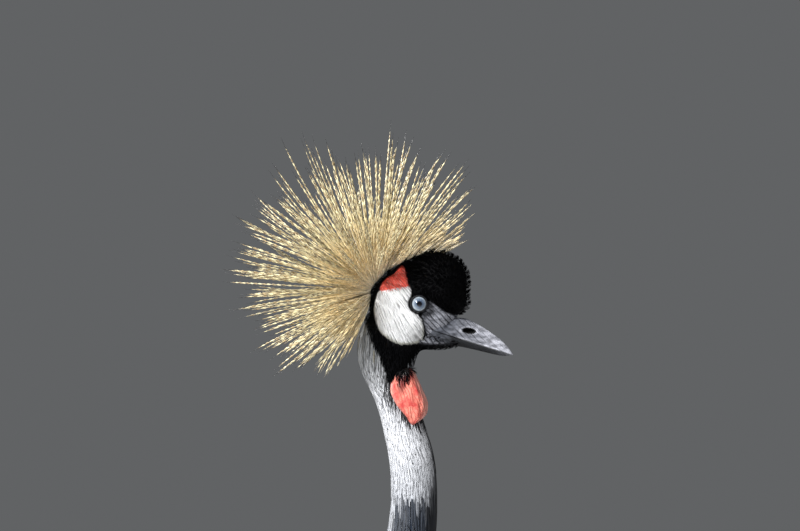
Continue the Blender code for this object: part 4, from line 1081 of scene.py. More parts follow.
def body_piece(name, chosen, spacing, long, half_width, lift, seed):
    """Rounded feathers laid over the skin. Where it bends away, a feather is shorter or there is none."""
    roots, outs, flat, draw = roots_where(chosen, spacing, seed)
    aims = unit(lie_of(roots, outs) + outs * 0.03 + draw.normal(0, 0.06, roots.shape))
    size = draw.uniform(0.80, 1.12, len(roots)) * (0.60 + 0.40 * ramp(roots[:, 2], THIGH_END_Z, 0.45))
    raised = lift * size[:, None] * draw.uniform(0.85, 1.25, (len(roots), 1))
    _, _, tip_outs = laid_on_skin(roots, aims, long * size, 0.0, 0.0)
    size = size * np.where((tip_outs * outs).sum(1) < 0.72, 0.70, 1.0)
    middles, tips, tip_outs = laid_on_skin(roots, aims, long * size, raised * 0.75, raised)
    dyes = varied(draw, dye_at(roots), 0.12)
    lying = (tip_outs * outs).sum(1) > 0.5
    shared = unit(outs + tip_outs)
    parts = (roots - outs * MM, middles, tips, unit(outs + shared), unit(tip_outs + shared),
             half_width * size, dyes, flat)
    roots, middles, tips, outs, tip_outs, widths, dyes, flat = (part[lying] for part in parts)
    return plumes(name, roots, middles, tips, outs, tip_outs, widths, CONTOUR_DEPTH, ROUNDED,
                  (dyes * 0.72, dyes * 1.12), flat)


tiled = body_piece("body_feathers", on_body, 6.0 * MM, 36 * MM, 4.6 * MM, 2.4 * MM, 71)
close = body_piece("thigh_feathers", on_thighs, 3.9 * MM, 22 * MM, 2.5 * MM, 1.5 * MM, 73)
for piece in (tiled, close):
    clothe(piece, contour, "body_plumage")


# The breast plumes: long pointed slate-grey feathers that hang from the base of the neck over the breast,
# looser than the rounded ones beneath them.
def on_breast(places):
    return (places[:, 2] > 0.605) & (places[:, 2] < 0.715) & (places[:, 0] - BODY_X > 0.045)


PENDENT_APART, PENDENT_HALF_WIDTH, PENDENT_DEPTH = 6.4 * MM, 2.5 * MM, 0.25 * MM
PENDENT_FORM = ((0.06, 0.4), (0.25, 0.9), (0.50, 1.0), (0.75, 0.72), (0.92, 0.30))
roots, outs, flat, draw = roots_where(on_breast, PENDENT_APART, 97)
aims = unit(lie_of(roots, outs) + draw.normal(0, 0.05, roots.shape))
length = draw.uniform(48, 78, len(roots)) * MM
middles, tips, tip_outs = laid_on_skin(roots, aims, length, 1.6 * MM, 2.6 * MM)
dyes = varied(draw, np.tile(np.array(BODY_SLATE) * 1.35, (len(roots), 1)), 0.2)
hanging = plumes("breast_plumes", roots - outs * 0.5 * MM, middles, tips, outs, tip_outs,
                 PENDENT_HALF_WIDTH, PENDENT_DEPTH, PENDENT_FORM, (dyes * 0.6, dyes), flat)
clothe(hanging, hackle, "body_plumage")

# The crest: stiff straw-gold bristles that burst from the back of the crown. Each is a flat filament
# twisted like a drill, pale on one side and dark on the other, so that it shows as a chain of dashes up to
# a dark tip.
CREST_FOCUS = (-38, 12)
CREST_ARC = (29, 246)
CREST_SHAPE = (
    # degrees round from straight ahead, millimetres from the focus to where bristles begin and where they end
    (29, 68, 96), (33, 61, 104), (37, 55, 110), (40, 48, 117), (45, 37.5, 126), (50, 30.5, 134),
    (55, 25, 141), (62, 19.5, 147), (70, 13.5, 148), (80, 9.5, 149), (90, 7.5, 149), (120, 4.8, 149),
    (150, 4.6, 148), (175, 5.0, 143), (190, 5.4, 131), (208, 6.2, 127), (223, 7.0, 111), (233, 8.5, 98),
    (240, 11, 88), (247, 20, 66),
)
CREST_HALF_SPREAD = 74
CREST_SIDE_SHARE = 0.80
CREST_ROOT_SIDE = 6.0
CREST_LENGTH = 130 * MM
CREST_SHORTEST = 28
SHEAF_BOW, BRISTLE_BOW, BOWED_LENGTH = 2.2 * MM, 1.3 * MM, 0.14
TWIST = 15.0 * MM
BRISTLE_HALF_WIDTH, BRISTLE_HALF_DEPTH = 0.78 * MM, 0.22 * MM
DOWNY_CREAM = (0.96, 0.88, 0.68)
STRAW = (0.90, 0.68, 0.34)
CREAM = (0.98, 0.88, 0.54)
BRISTLE_DARK = (0.150, 0.072, 0.020)
BRISTLE_TIP = (0.018, 0.017, 0.018)


def crest_ends(angle, lateral):
    """Where a bristle leaves the head and ends, for its angle in the mid-plane and its angle to the side."""
    angles, starts, reaches = zip(*CREST_SHAPE)
    start = float(np.interp(angle, angles, starts))
    reach = float(np.interp(angle, angles, reaches))
    lateral = min(lateral, math.degrees(math.acos((start + CREST_SHORTEST) / reach)), key=abs)
    a, b = np.radians(angle), np.radians(lateral)
    reach *= 1 - (1 - CREST_SIDE_SHARE) * math.sin(b) ** 2
    forward, up = CREST_FOCUS
    root = at_head(forward + start * math.cos(a), up + start * math.sin(a), CREST_ROOT_SIDE * math.sin(b))
    tip = at_head(forward + reach * math.cos(b) * math.cos(a), up + reach * math.cos(b) * math.sin(a),
                  reach * math.sin(b))
    return np.array(root), np.array(tip)


def crest_lines(sheaves, members, shortest, longest, loose, seed):
    """Centre lines of bristles in small sheaves, spread evenly over the crest."""
    draw = np.random.default_rng(seed)
    golden = (math.sqrt(5) - 1) / 2
    lines = []
    for i in range(sheaves):
        sheaf_angle = CREST_ARC[0] + (CREST_ARC[1] - CREST_ARC[0]) * ((i * golden) % 1.0)
        level = (2 * (i + 0.5) / sheaves - 1) * math.sin(math.radians(CREST_HALF_SPREAD))
        sheaf_lateral = math.degrees(math.asin(level))
        sheaf_length = draw.uniform(shortest, longest)
        sheaf_bow = draw.normal(0, SHEAF_BOW, 3)
        for _ in range(int(draw.integers(members[0], members[1] + 1))):
            angle = np.clip(sheaf_angle + draw.normal(0, loose), *CREST_ARC)
            root, tip = crest_ends(angle, sheaf_lateral + draw.normal(0, loose))
            tip = root + (tip - root) * sheaf_length * draw.uniform(0.86, 1.05)
            bow = sheaf_bow + draw.normal(0, BRISTLE_BOW, 3)
            lines.append((root, (root + tip) / 2 + bow * np.linalg.norm(tip - root) / BOWED_LENGTH, tip))
    return np.array(lines)


def bristle_piece(name, lines, rings, seed):
    """One piece of twisted bristles, with a map along each for its dashes."""
    draw = np.random.default_rng(seed)
    count = len(lines)
    t = np.linspace(0, 1, rings)[None, :, None]
    line = bowed(*(lines[:, i][:, None] for i in range(3)), t)
    run = unit(np.gradient(line, axis=1))
    level = unit(np.cross(run, np.array([0.31, 0.87, 0.38])))
    over = np.cross(level, run)
    length = np.linalg.norm(lines[:, 2] - lines[:, 0], axis=1)[:, None, None]
    far = t * length / CREST_LENGTH
    twist = draw.uniform(0.80, 1.15, (count, 1, 1))
    turns = far**1.8 * CREST_LENGTH / TWIST * twist + draw.random((count, 1, 1))
    turn = turns * math.tau
    flat_way = level * np.cos(turn) + over * np.sin(turn)
    thick_way = over * np.cos(turn) - level * np.sin(turn)
    taper = np.interp(t, (0, 0.10, 0.6, 0.87, 0.93, 1.0), (0.45, 0.70, 1.0, 0.90, 0.36, 0.12))
    taper = taper * draw.uniform(0.80, 1.25, (count, 1, 1))
    wide, deep = flat_way * BRISTLE_HALF_WIDTH * taper, thick_way * BRISTLE_HALF_DEPTH * taper
    points = np.stack([line - wide, line + deep, line + wide, line - deep], 2)
    size = rings * 4
    ids = np.arange(size).reshape(rings, 4)
    faces = np.vstack([ring_faces(ids), ids[0, ::-1], ids[-1]])
    along = np.repeat(np.linspace(0, 1, rings), 4)
    steps = np.tile(np.arange(4), rings)
    vane = np.stack([np.broadcast_to(steps / 4, (count, size)), np.broadcast_to(along, (count, size))], -1)
    strip = (np.arange(count)[:, None] + 0.1 + 0.8 * steps[None] / 3) / count
    spot = np.stack([np.broadcast_to(0.003 + 0.994 * along, (count, size)), strip], -1)
    pale = draw.uniform(0, 1, (count, 1, 1))
    share = along[None, :, None]
    far = share * length / CREST_LENGTH
    straw_dye, bright = (np.array(dye) * (0.64 + 0.42 * pale) for dye in (STRAW, CREAM))
    downy = np.array(DOWNY_CREAM) * (0.86 + 0.2 * pale)
    colour = downy + (straw_dye - downy) * np.interp(far, (0.0, 0.10, 0.30), (0.0, 0.25, 0.90))
    colour = colour + (bright - colour) * np.interp(far, (0.15, 0.30, 0.55), (0.0, 0.25, 1.0))
    dark = np.array(BRISTLE_DARK) * (0.6 + 0.9 * pale)
    darkness = np.interp(far, (0.0, 0.20, 0.40, 0.62, 1.0), (0.0, 0.12, 0.45, 0.95, 1.0))
    darkness = darkness * (steps == 3)[None, :, None]
    at_edge = ((steps == 0) | (steps == 2))[None, :, None]
    edge = np.interp(far, (0.0, 0.3, 0.6, 1.0), (0.0, 0.05, 0.28, 0.42)) * at_edge
    colour = colour + (dark - colour) * np.clip(darkness + edge, 0, 1)
    tipped = np.clip((share - 0.905) / 0.035, 0, 1) * ramp(length, 75 * MM, 90 * MM)
    colour = colour + (np.array(BRISTLE_TIP) - colour) * tipped
    return joined(name, points, faces, vane, spot, colour)


straw, tree, shader = new_finish("straw bristle", 0.42, Sheen_Weight=0.1)
uneven = clouds(tree, 420.0, 2.0)
dyed(tree, shader, shaded(tree, carried(tree, "dye", "Color"), ranged(tree, uneven, 0.3, 0.7, 0.78, 1.18)))
tree.links.new(ranged(tree, uneven, 0.3, 0.7, 0.34, 0.55), shader.inputs["Roughness"])
bump(tree, shader, uneven, 0.3, 0.0001)

long_lines = crest_lines(120, (3, 5), 0.86, 1.08, 2.2, 81)
for i in range(3):
    clothe(bristle_piece(f"crest_{i + 1}", long_lines[i::3], 84, 83 + i), straw, "crest", "crest")
inner_lines = crest_lines(190, (2, 3), 0.40, 0.72, 3.0, 82)
clothe(bristle_piece("crest_inner", inner_lines, 52, 87), straw, "crest", "crest")

# The bill: two halves of slate-grey horn with a rounded ridge, an oval nostril through each side, painted
# black inside as shade, and a lighter tip. The ridge is paler, partly in its own colour and partly as a
# painted highlight; the lip over the mouth and the nostril's rim carry painted highlights, and the lower half
# and the line of the mouth painted shade. They close on a line that runs back into the gape.
UPPER_BILL = (
    # along, top, half width
    (3, 12.0, 8.4), (10, 15.0, 9.2), (22, 17.8, 8.9), (30, 19.2, 8.3), (38, 18.0, 7.2), (51, 15.0, 5.9),
    (65, 10.2, 4.3), (74, 5.3, 2.9), (79.4, 1.0, 1.0),
)
LOWER_BILL = (
    # along, bottom, half width
    (3, -13.0, 9.0), (10, -12.0, 9.2), (20, -9.2, 8.6), (32, -6.6, 7.2), (44, -5.4, 6.0), (57, -4.5, 4.7),
    (69, -3.4, 3.1), (76.3, -1.3, 1.1),
)
NOSTRIL = (35.5, 9.4)
NOSTRIL_HALF_LENGTH, NOSTRIL_HALF_HEIGHT, NOSTRIL_DEPTH = 6.4, 2.7, 5.0
NOSTRIL_TILT = math.radians(10)
MOUTH_GAP = 0.30
LIP = 1.0


def bill_half(name, rows, arch_up):
    """One half of the bill: an arch over the line of the mouth, as smooth rings."""
    arch, floor_points = 61, 7
    c, s = squared(np.linspace(0, math.pi, arch), 1.8)
    edge = MOUTH_GAP if arch_up else -MOUTH_GAP
    shares_across = [1 - 2 * k / (floor_points + 1) for k in range(1, floor_points + 1)]
    rings = []
    for along, high, width in smooth_rows(rows, 22):
        ring = [at_bill(along, edge + (high - edge) * b, width * a) for a, b in zip(c, s)]
        ring += [at_bill(along, edge, -width * share) for share in shares_across]
        rings.append([tuple(place) for place in ring])
    return shell(name, rings)


bill_upper = bill_half("bill_upper_horn", UPPER_BILL, True)
bill_lower = bill_half("bill_lower_horn", LOWER_BILL, False)
# The horn grows out of the skin: near it, each half is eased on to it and a little under.
EASE_REACH, EASE_SINK = 2.8 * MM, 0.10 * MM
for half in (bill_upper, bill_lower):
    places = vertex_array(half.data)
    on_skin, skin_out = skin_near(places)
    height = ((places - on_skin) * skin_out).sum(1)
    near = np.linalg.norm(places - on_skin, axis=1) < EASE_REACH
    eased = (height + EASE_REACH) ** 2 / (4 * EASE_REACH) - EASE_SINK
    places[near] += skin_out[near] * (eased - height)[near, None]
    move_points(half.data, places)
places = vertex_array(bill_upper.data)
along, above = bill_plane(places)
c, s = math.cos(NOSTRIL_TILT), math.sin(NOSTRIL_TILT)
lengthwise = (along - NOSTRIL[0]) * c + (above - NOSTRIL[1]) * s
upwards = (above - NOSTRIL[1]) * c - (along - NOSTRIL[0]) * s
oval = np.hypot(lengthwise / NOSTRIL_HALF_LENGTH, upwards / NOSTRIL_HALF_HEIGHT)
hollow = 1 - ramp(oval, 0.70, 1.02)
rim = np.exp(-(((oval - 1.22) / 0.18) ** 2))
lip = np.exp(-(((above - LIP) / 0.7) ** 2)) * ramp(along, 22, 34)
outward = (0.22 * rim + 0.28 * lip - NOSTRIL_DEPTH * hollow) * (np.abs(places[:, 1]) > 1.5 * MM)
places[:, 1] += np.sign(places[:, 1]) * outward * MM
move_points(bill_upper.data, places)
# The nostril's hollow is painted black, as shade.
weigh(bill_upper.data, "nostril", 1 - ramp(oval, 0.92, 1.06))
# Paler towards the tip in the horn's own colour; along the ridge partly in its own colour and partly as a
# painted highlight; round the nostril's rim and along the lip over the mouth as a painted highlight.
ridge = ramp(above, 9, 17) * ramp(along, 28, 46)
far_out = ramp(along, 34, 66) * ramp(above, -2, 5)
pale = 0.22 * ramp(along, 12, 30) + 0.85 * far_out + 0.6 * ridge + 0.8 * lip + 0.4 * rim
weigh(bill_upper.data, "pale", np.clip(pale, 0, 1))
lower_places = vertex_array(bill_lower.data)
lower_along, _ = bill_plane(lower_places)
weigh(bill_lower.data, "nostril", np.zeros(len(lower_places)))
weigh(bill_lower.data, "pale", 0.35 * ramp(lower_along, 55, 76))
# Painted shade: most of the lower half is darkened, and the upper half along the line of the mouth.
weigh(bill_lower.data, "shade", 0.35 + 0.65 * ramp(lower_along, 13, 27) - 0.35 * ramp(lower_along, 58, 76))
weigh(bill_upper.data, "shade", 0.9 * np.exp(-((above / 0.5) ** 2)))
weigh(bill_upper.data, "lore line", lore_line(places))
weigh(bill_lower.data, "lore line", lore_line(lower_places))

horn, tree, shader = new_finish("bill horn", 0.42, Specular_IOR_Level=0.38)
nostril, pale, shaded_share = (carried(tree, name) for name in ("nostril", "pale", "shade"))
line_width = sums(tree, "MULTIPLY_ADD", pale, -0.19, 0.21)
horny = use_group(tree, slate, {"Lines": carried(tree, "lore line"), "Pale": pale, "Width": line_width})
in_shade = sums(tree, "MULTIPLY", shaded_share, 0.94)
tone = blend_colours(tree, in_shade, horny["Color"], (0.008, 0.009, 0.011, 1.0))
dyed(tree, shader, blend_colours(tree, nostril, tone, (0.001, 0.001, 0.001, 1.0)))
matt = sums(tree, "MAXIMUM", nostril, sums(tree, "MULTIPLY", shaded_share, 0.8))
tree.links.new(sums(tree, "MULTIPLY_ADD", matt, 0.5, 0.42), shader.inputs["Roughness"])
bump(tree, shader, horny["Height"], 0.5, 0.00025)
clothe(bill_upper, horn, "bill", "bill_upper")
clothe(bill_lower, horn, "bill", "bill_lower")

# The beard under the bill: short ragged black bristles, where the chin's feathers run out along the lower
# bill's underside.
BEARD_FROM, BEARD_TO, BEARD_COUNT = 2.0, 31.0, 330
BEARD_HALF_WIDTH, BEARD_DEPTH = 0.32 * MM, 0.14 * MM
draw = np.random.default_rng(95)
along = BEARD_FROM + (BEARD_TO - BEARD_FROM) * draw.random(BEARD_COUNT) ** 1.2
alongs, lows, widths = np.array(LOWER_BILL, float).T
swing = draw.uniform(-1, 1, BEARD_COUNT) * math.pi * 0.40
low, wide = np.interp(along, alongs, lows), np.interp(along, alongs, widths)
around = zip(along, low, wide, swing)
roots = np.array([at_bill(a, b * math.cos(c), w * math.sin(c)) for a, b, w, c in around])
middle = np.array([at_bill(a, 0.0) for a in along])
outs = unit(roots - middle)
back = unit(np.array(at_bill(0, 0)) - np.array(at_bill(30, 0)))
aims = unit(outs * 0.75 + back * 0.7 + draw.normal(0, 0.22, roots.shape))
length = draw.uniform(2.2, 5.2, BEARD_COUNT) * MM
tips = roots + aims * length[:, None]
dyes = varied(draw, np.tile(np.array(BLACK) * 0.5, (BEARD_COUNT, 1)), 0.4)
beard = plumes("beard", roots - outs * 0.6 * MM, (roots + tips) / 2, tips, outs, outs, BEARD_HALF_WIDTH,
               BEARD_DEPTH, ((0.25, 1.0), (0.75, 0.7)), (dyes, dyes), flat_near(roots))
clothe(beard, velvet, "head_plumage")

# The eyes: wet globes with a pale blue-grey iris, darker round the pupil and at its rim, each in a ring of
# black pimpled lid that stands up from the skin.
EYE_RADIUS, EYE_SIDE = 9.2, 12.0
IRIS_RADIUS = 6.4
PUPIL_FORWARD = 0.6
BEYOND_IRIS, RINGS_REACH = 9.0, 10.0
LID_RADIUS, LID_THICKNESS, LID_SIDE = 7.0, 1.15, 5.75
CORNEA_RISE = 0.7
IRIS_RINGS = (
    # millimetres from the middle of the pupil, colour
    (0.0, (0.001, 0.001, 0.003)), (2.1, (0.001, 0.002, 0.006)), (2.4, (0.030, 0.048, 0.085)),
    (2.9, (0.10, 0.14, 0.21)), (3.9, (0.17, 0.22, 0.30)), (4.9, (0.24, 0.30, 0.39)),
    (5.4, (0.42, 0.49, 0.56)), (6.2, (0.32, 0.38, 0.44)), (6.6, (0.02, 0.025, 0.035)),
    (7.4, (0.005, 0.005, 0.006)),
)

eye_finish, tree, shader = new_finish(
    "wet eye", 0.08, Coat_Weight=1.0, Coat_Roughness=0.02, Specular_IOR_Level=0.5
)
place = node(tree, "ShaderNodeUVMap", uv_map="iris").outputs[0]
place = node(tree, "ShaderNodeSeparateXYZ", {0: place}).outputs
fibre_place = node(tree, "ShaderNodeCombineXYZ", {
    0: sums(tree, "MULTIPLY", place["Y"], 60.0), 1: sums(tree, "MULTIPLY", place["X"], 0.45),
}).outputs[0]
fibres = clouds(tree, 1.0, 3.0, place=fibre_place)
iris = node(tree, "ShaderNodeValToRGB", {0: sums(tree, "DIVIDE", place["X"], RINGS_REACH)})
stops = iris.color_ramp.elements
for index, (distance, colour) in enumerate(IRIS_RINGS):
    stop = stops[index] if index < 2 else stops.new(distance / RINGS_REACH)
    stop.position = distance / RINGS_REACH
    stop.color = (*colour, 1.0)
dyed(tree, shader, shaded(tree, iris.outputs[0], ranged(tree, fibres, 0.3, 0.7, 0.72, 1.2)))

lid_skin, tree, shader = new_finish("eyelid", 0.55, Specular_IOR_Level=0.3)
pimples = cells(tree, 1500.0)
dyed(tree, shader, blend_colours(tree, pimples, (0.014, 0.015, 0.018, 1.0), (0.003, 0.003, 0.004, 1.0)))
bump(tree, shader, pimples, 0.7, 0.0003)

for sign, label in SIDES:
    rings = []
    turns = 64
    polar = np.r_[np.linspace(0.02, 1.0, 34), np.linspace(1.06, math.pi - 0.02, 22)]
    for angle in polar:
        from_axis = EYE_RADIUS * math.sin(angle)
        bulge = CORNEA_RISE * (1 - float(ramp(np.array(from_axis), 0.0, IRIS_RADIUS))) if angle < 1.2 else 0.0
        outward = EYE_SIDE + EYE_RADIUS * math.cos(angle) + bulge
        rings.append([
            tuple(at_head(from_axis * math.cos(a), from_axis * math.sin(a), sign * outward))
            for a in np.linspace(0, math.tau, turns, endpoint=False)
        ])
    globe = shell(f"eye_{label}_globe", rings)
    points = vertex_array(globe.data)
    forward, up, side = head_plane(points)
    front = np.where(side > EYE_SIDE, np.hypot(forward - PUPIL_FORWARD, up), BEYOND_IRIS)
    spin = (np.arctan2(up, forward - PUPIL_FORWARD) / math.tau) % 1.0
    corners = np.empty(len(globe.data.loops), np.int32)
    globe.data.loops.foreach_get("vertex_index", corners)
    layer = globe.data.uv_layers.new(name="iris")
    iris_places = np.stack([front, np.abs(spin - 0.5)], -1)[corners]
    layer.uv.foreach_set("vector", iris_places.astype(np.float32).ravel())
    clothe(globe, eye_finish, "eye", f"eye_{label}")

    rings = []
    for a in np.linspace(0, math.tau, 72, endpoint=False):
        opening = LID_RADIUS * (1.0 - 0.055 * abs(math.sin(a)) ** 3)
        thick = LID_THICKNESS * (1.0 + 0.22 * max(0.0, math.sin(a)) + 0.25 * max(0.0, math.cos(a)) ** 6)
        ring = []
        for b in np.linspace(0, math.tau, 20, endpoint=False):
            crease = 1.0 - 0.10 * max(0.0, math.cos(3 * b))
            away = opening + thick * crease * math.cos(b)
            outward = EYE_SIDE + LID_SIDE + 0.85 * thick * crease * math.sin(b)
            ring.append(tuple(at_head(away * math.cos(a), away * math.sin(a), sign * outward)))
        rings.append(ring)
    rings = np.array(rings)
    ids = np.arange(rings.shape[0] * rings.shape[1]).reshape(rings.shape[:2])
    quads = ring_faces(np.vstack([ids, ids[:1]])).tolist()
    lid = mesh_piece(f"eyelid_{label}", rings.reshape(-1, 3), quads)
    clothe(lid, lid_skin, "head_plumage")

# The pouch: bare red skin that wraps the front of the throat in two soft lobes, finely wrinkled, blotched
# darker and paler, with a painted highlight along its front and back rims. A wedge of painted shadow runs
# down from its top, which the throat's feathers cover.
POUCH_ROWS = (
    # up, middle forward, reach in front of it, reach behind it, half width
    (-58, -12.6, 6, 7, 13), (-62, -13.0, 9.5, 10.5, 18), (-70, -13.0, 13.2, 13.8, 20.8),
    (-77, -12.0, 15.5, 15.0, 21.4), (-83, -10.5, 16.8, 15.7, 21.6), (-90, -8.0, 16.0, 15.0, 21.2),
    (-97, -5.5, 13.1, 12.2, 20.5), (-102, -4.5, 9.5, 8.5, 19.4), (-106.5, -5.2, 4.6, 4.2, 18.0),
    (-108.5, -5.6, 1.4, 1.4, 16.0),
)
angles = np.linspace(0, math.tau, 96, endpoint=False)
c, s = squared(angles, 3.0)
rings = []
for up_mm, middle, front, back, width in smooth_rows(POUCH_ROWS, 9):
    folds = 1 + 0.020 * np.sin(9 * angles + up_mm / 5.5) + 0.012 * np.sin(17 * angles - up_mm / 3.1)
    reach = np.where(c > 0, front, back) * c * folds
    rings.append([tuple(at_head(middle + r, up_mm, w)) for r, w in zip(reach, width * s * folds)])
pouch = shell("throat_pouch", rings)
points = vertex_array(pouch.data)
forward, up, side = head_plane(points)
ups, middles, fronts, backs, _ = np.array(POUCH_ROWS[::-1], float).T
from_middle = forward - np.interp(up, ups, middles)
reach = np.where(from_middle > 0, np.interp(up, ups, fronts), np.interp(up, ups, backs))
share_out = np.abs(from_middle) / reach
# Painted highlight along the pouch's front and back rims.
weigh(pouch.data, "rim", ramp(share_out, 0.62, 0.95))
# How far each place lies outside the wedge of painted shadow, which leans forward and grows wider towards its
# top.
from_shadow_wedge = np.abs(forward + 16.5 - 0.22 * (up + 80)) - 0.20 * (up + 84)
shadow_wedge = (1 - ramp(from_shadow_wedge, 0.0, 3.0)) * ramp(up, -86, -72)
weigh(pouch.data, "chin_shadow", np.clip(shadow_wedge, 0, 1))
weigh(pouch.data, "covered", ramp(up, -67, -63) * (1 - ramp(from_middle, 4, 7)))
# The way across the wrinkles, and how far apart they lie in metres.
WRINKLES_WAY, WRINKLES_APART = (0.94, 0.2, 0.30), 0.0026
red_skin, tree, shader = new_finish(
    "pouch skin", 0.5, Subsurface_Weight=0.12, Subsurface_Radius=(0.004, 0.0015, 0.001), Subsurface_Scale=0.5
)
step = [part / WRINKLES_APART for part in WRINKLES_WAY]
count = node(
    tree, "ShaderNodeVectorMath", {0: here_on(tree), 1: step}, operation="DOT_PRODUCT"
).outputs["Value"]
wrinkles = use_group(tree, grooves, {"Count": count, "Width": 0.30, "Wander": 2.4, "Break up": 0.9})["Groove"]
blotched = ranged(tree, clouds(tree, 120.0, 4.0, 0.62), 0.40, 0.66, 0.0, 1.0)
tone = blend_colours(tree, blotched, (0.84, 0.27, 0.20, 1.0), (0.56, 0.060, 0.055, 1.0))
for share, depth, colour in (
    # The rims take a painted highlight.
    (carried(tree, "rim"), 0.60, (0.92, 0.50, 0.42, 1.0)), (wrinkles, 0.50, (0.34, 0.020, 0.018, 1.0)),
    # Painted shadow of the chin, down the wedge at the pouch's top.
    (carried(tree, "chin_shadow"), 0.92, (0.13, 0.004, 0.004, 1.0)),
    (carried(tree, "covered"), 1.0, (0.008, 0.006, 0.006, 1.0)),
):
    tone = blend_colours(tree, sums(tree, "MULTIPLY", share, depth), tone, colour)
dyed(tree, shader, tone)
pimples = sums(tree, "MULTIPLY", cells(tree, 620.0), 0.5)
bump(tree, shader, sums(tree, "SUBTRACT", pimples, wrinkles), 0.6, 0.0005)
clothe(pouch, red_skin, "wattle", "wattle")
DIPPING_APART, DIPPING_HALF_WIDTH, DIPPING_DEPTH = 0.8 * MM, 0.30 * MM, 0.12 * MM
draw = np.random.default_rng(96)
dipped = (shadow_wedge > 0.3) & (draw.random(len(up)) < ramp(up, -73, -63))
on_top = np.flatnonzero((dipped | ((up > -65.0) & (from_middle < 6))) & (side > 3))
on_top = on_top[spread_apart(points[on_top], DIPPING_APART)]
roots, outs = points[on_top], normal_array(pouch.data)[on_top]
downward = np.array(at_head(0.1, -1, 0)) - np.array(at_head(0, 0, 0))
aims = unit(downward + draw.normal(0, 0.0002, roots.shape))
aims = unit(flattened(aims, outs) + outs * 0.12)
tips = roots + aims * (draw.uniform(3.5, 7.5, len(roots)) * MM)[:, None]
dyes = varied(draw, np.tile(np.array(BLACK) * 0.6, (len(roots), 1)), 0.4)
middles = (roots + tips) / 2 + outs * 0.2 * MM
dipping = plumes("throat_feathers_dipping", roots - outs * 0.2 * MM, middles, tips, outs, outs,
                 DIPPING_HALF_WIDTH, DIPPING_DEPTH, ((0.15, 1.0), (0.6, 0.8)), (dyes, dyes), flat_near(roots))
clothe(dipping, velvet, "head_plumage")

# The folded wings: each a curved body under white lesser and greater coverts, loose straw-gold plumes,
# broad chestnut tertials and black primaries, laid like tiles from the shoulder to the tip.
WING_ROWS = np.array((
    # x, z, half width, half height
    (0.118, 0.585, 0.050, 0.042), (0.075, 0.580, 0.085, 0.070), (0.000, 0.568, 0.105, 0.092),
    (-0.080, 0.553, 0.105, 0.094), (-0.160, 0.532, 0.092, 0.084), (-0.240, 0.506, 0.072, 0.068),
    (-0.320, 0.474, 0.051, 0.050), (-0.400, 0.436, 0.030, 0.032),
))
wing_slope = (WING_ROWS[0, 1] - WING_ROWS[-1, 1]) / (WING_ROWS[0, 0] - WING_ROWS[-1, 0])
WING_UP = unit(np.array([-wing_slope, 0.0, 1.0]))
WING_ROWS_ENDED = np.vstack([WING_ROWS[0], WING_ROWS, WING_ROWS[-1]])


def on_wings(station, theta, lift):
    """Places on the folded wings: stations 0 to 1 from shoulder to tip, degrees round from the mid-back."""
    station, theta, lift = np.broadcast_arrays(station, theta, lift)
    place = np.clip(station, 0, 1) * (len(WING_ROWS) - 1)
    first = np.minimum(place.astype(int), len(WING_ROWS) - 2)
    row = curve_through(*(WING_ROWS_ENDED[first + k] for k in range(4)), (place - first)[..., None])
    turn = np.radians(theta)
    x, z, wide, high = np.moveaxis(row, -1, 0)
    centre = np.stack([x + BODY_X, np.zeros_like(x), z], -1)
    across = np.stack([np.zeros_like(x), (wide + lift) * np.sin(turn), np.zeros_like(x)], -1)
    return centre + WING_UP * ((high + lift) * np.cos(turn))[..., None] + across


BROAD = ((0.0, 0.10), (0.06, 0.30), (0.25, 0.78), (0.55, 1.0), (0.82, 0.92), (0.94, 0.66), (1.0, 0.10))
LONG = ((0.0, 0.10), (0.08, 0.42), (0.30, 0.88), (0.55, 1.0), (0.78, 0.84), (0.92, 0.50), (1.0, 0.06))
POINTED = ((0.0, 0.12), (0.08, 0.40), (0.35, 1.0), (0.65, 0.86), (0.88, 0.46), (1.0, 0.05))
COVERT_WHITE = ((0.34, 0.34, 0.335), (0.52, 0.52, 0.50))
PLUME_GOLD = ((0.46, 0.37, 0.20), (0.50, 0.33, 0.105))
CHESTNUT = ((0.050, 0.014, 0.007), (0.105, 0.027, 0.010))
PRIMARY_BLACK = ((0.012, 0.013, 0.015), (0.007, 0.007, 0.009))
covert = feather_finish("wing covert", 0.70, 1.3, 0.00016, 0.40, -0.30, Specular_IOR_Level=0.2)
quill = feather_finish("flight feather", 0.55, 1.4, 0.00008, 0.45, 0.35, Specular_IOR_Level=0.25)
golden = feather_finish("golden plume", 0.58, 1.1, 0.00012, 0.22, -0.3, Specular_IOR_Level=0.25)
WING_TIERS = (
    # rows, feathers in a row, stations where the first and last row start, stations that a feather is long,
    # degrees round of the first and last one, droop to the tip, half width, lift of the tip, outline, dyes of
    # root and tip, how much the dyes vary, finish
    ("lesser_coverts", 9, 17, 0.030, 0.240, 0.080, (10, 117), 2, 7.4, 4.2, BROAD, COVERT_WHITE, 0.07, covert),
    ("greater_coverts", 4, 14, 0.17, 0.27, 0.200, (12, 117), 3, 8.6, 5.2, LONG, COVERT_WHITE, 0.08, covert),
    ("golden_plumes", 4, 30, 0.32, 0.46, 0.245, (12, 119), 8, 2.9, 6.4, POINTED, PLUME_GOLD, 0.30, golden),
    ("tertials", 2, 9, 0.47, 0.53, 0.37, (12, 96), 3, 13.5, 5.2, LONG, CHESTNUT, 0.22, quill),
    ("primaries", 1, 6, 0.655, 0.655, 0.345, (30, 98), -8, 10.5, 2.6, POINTED, PRIMARY_BLACK, 0.15, quill),
)
THICKNESS = 0.35 * MM
ALONG_STEPS, ACROSS_STEPS = 14, 7
ROOT_SINK = 1.2 * MM
WING_LENGTH = 0.52
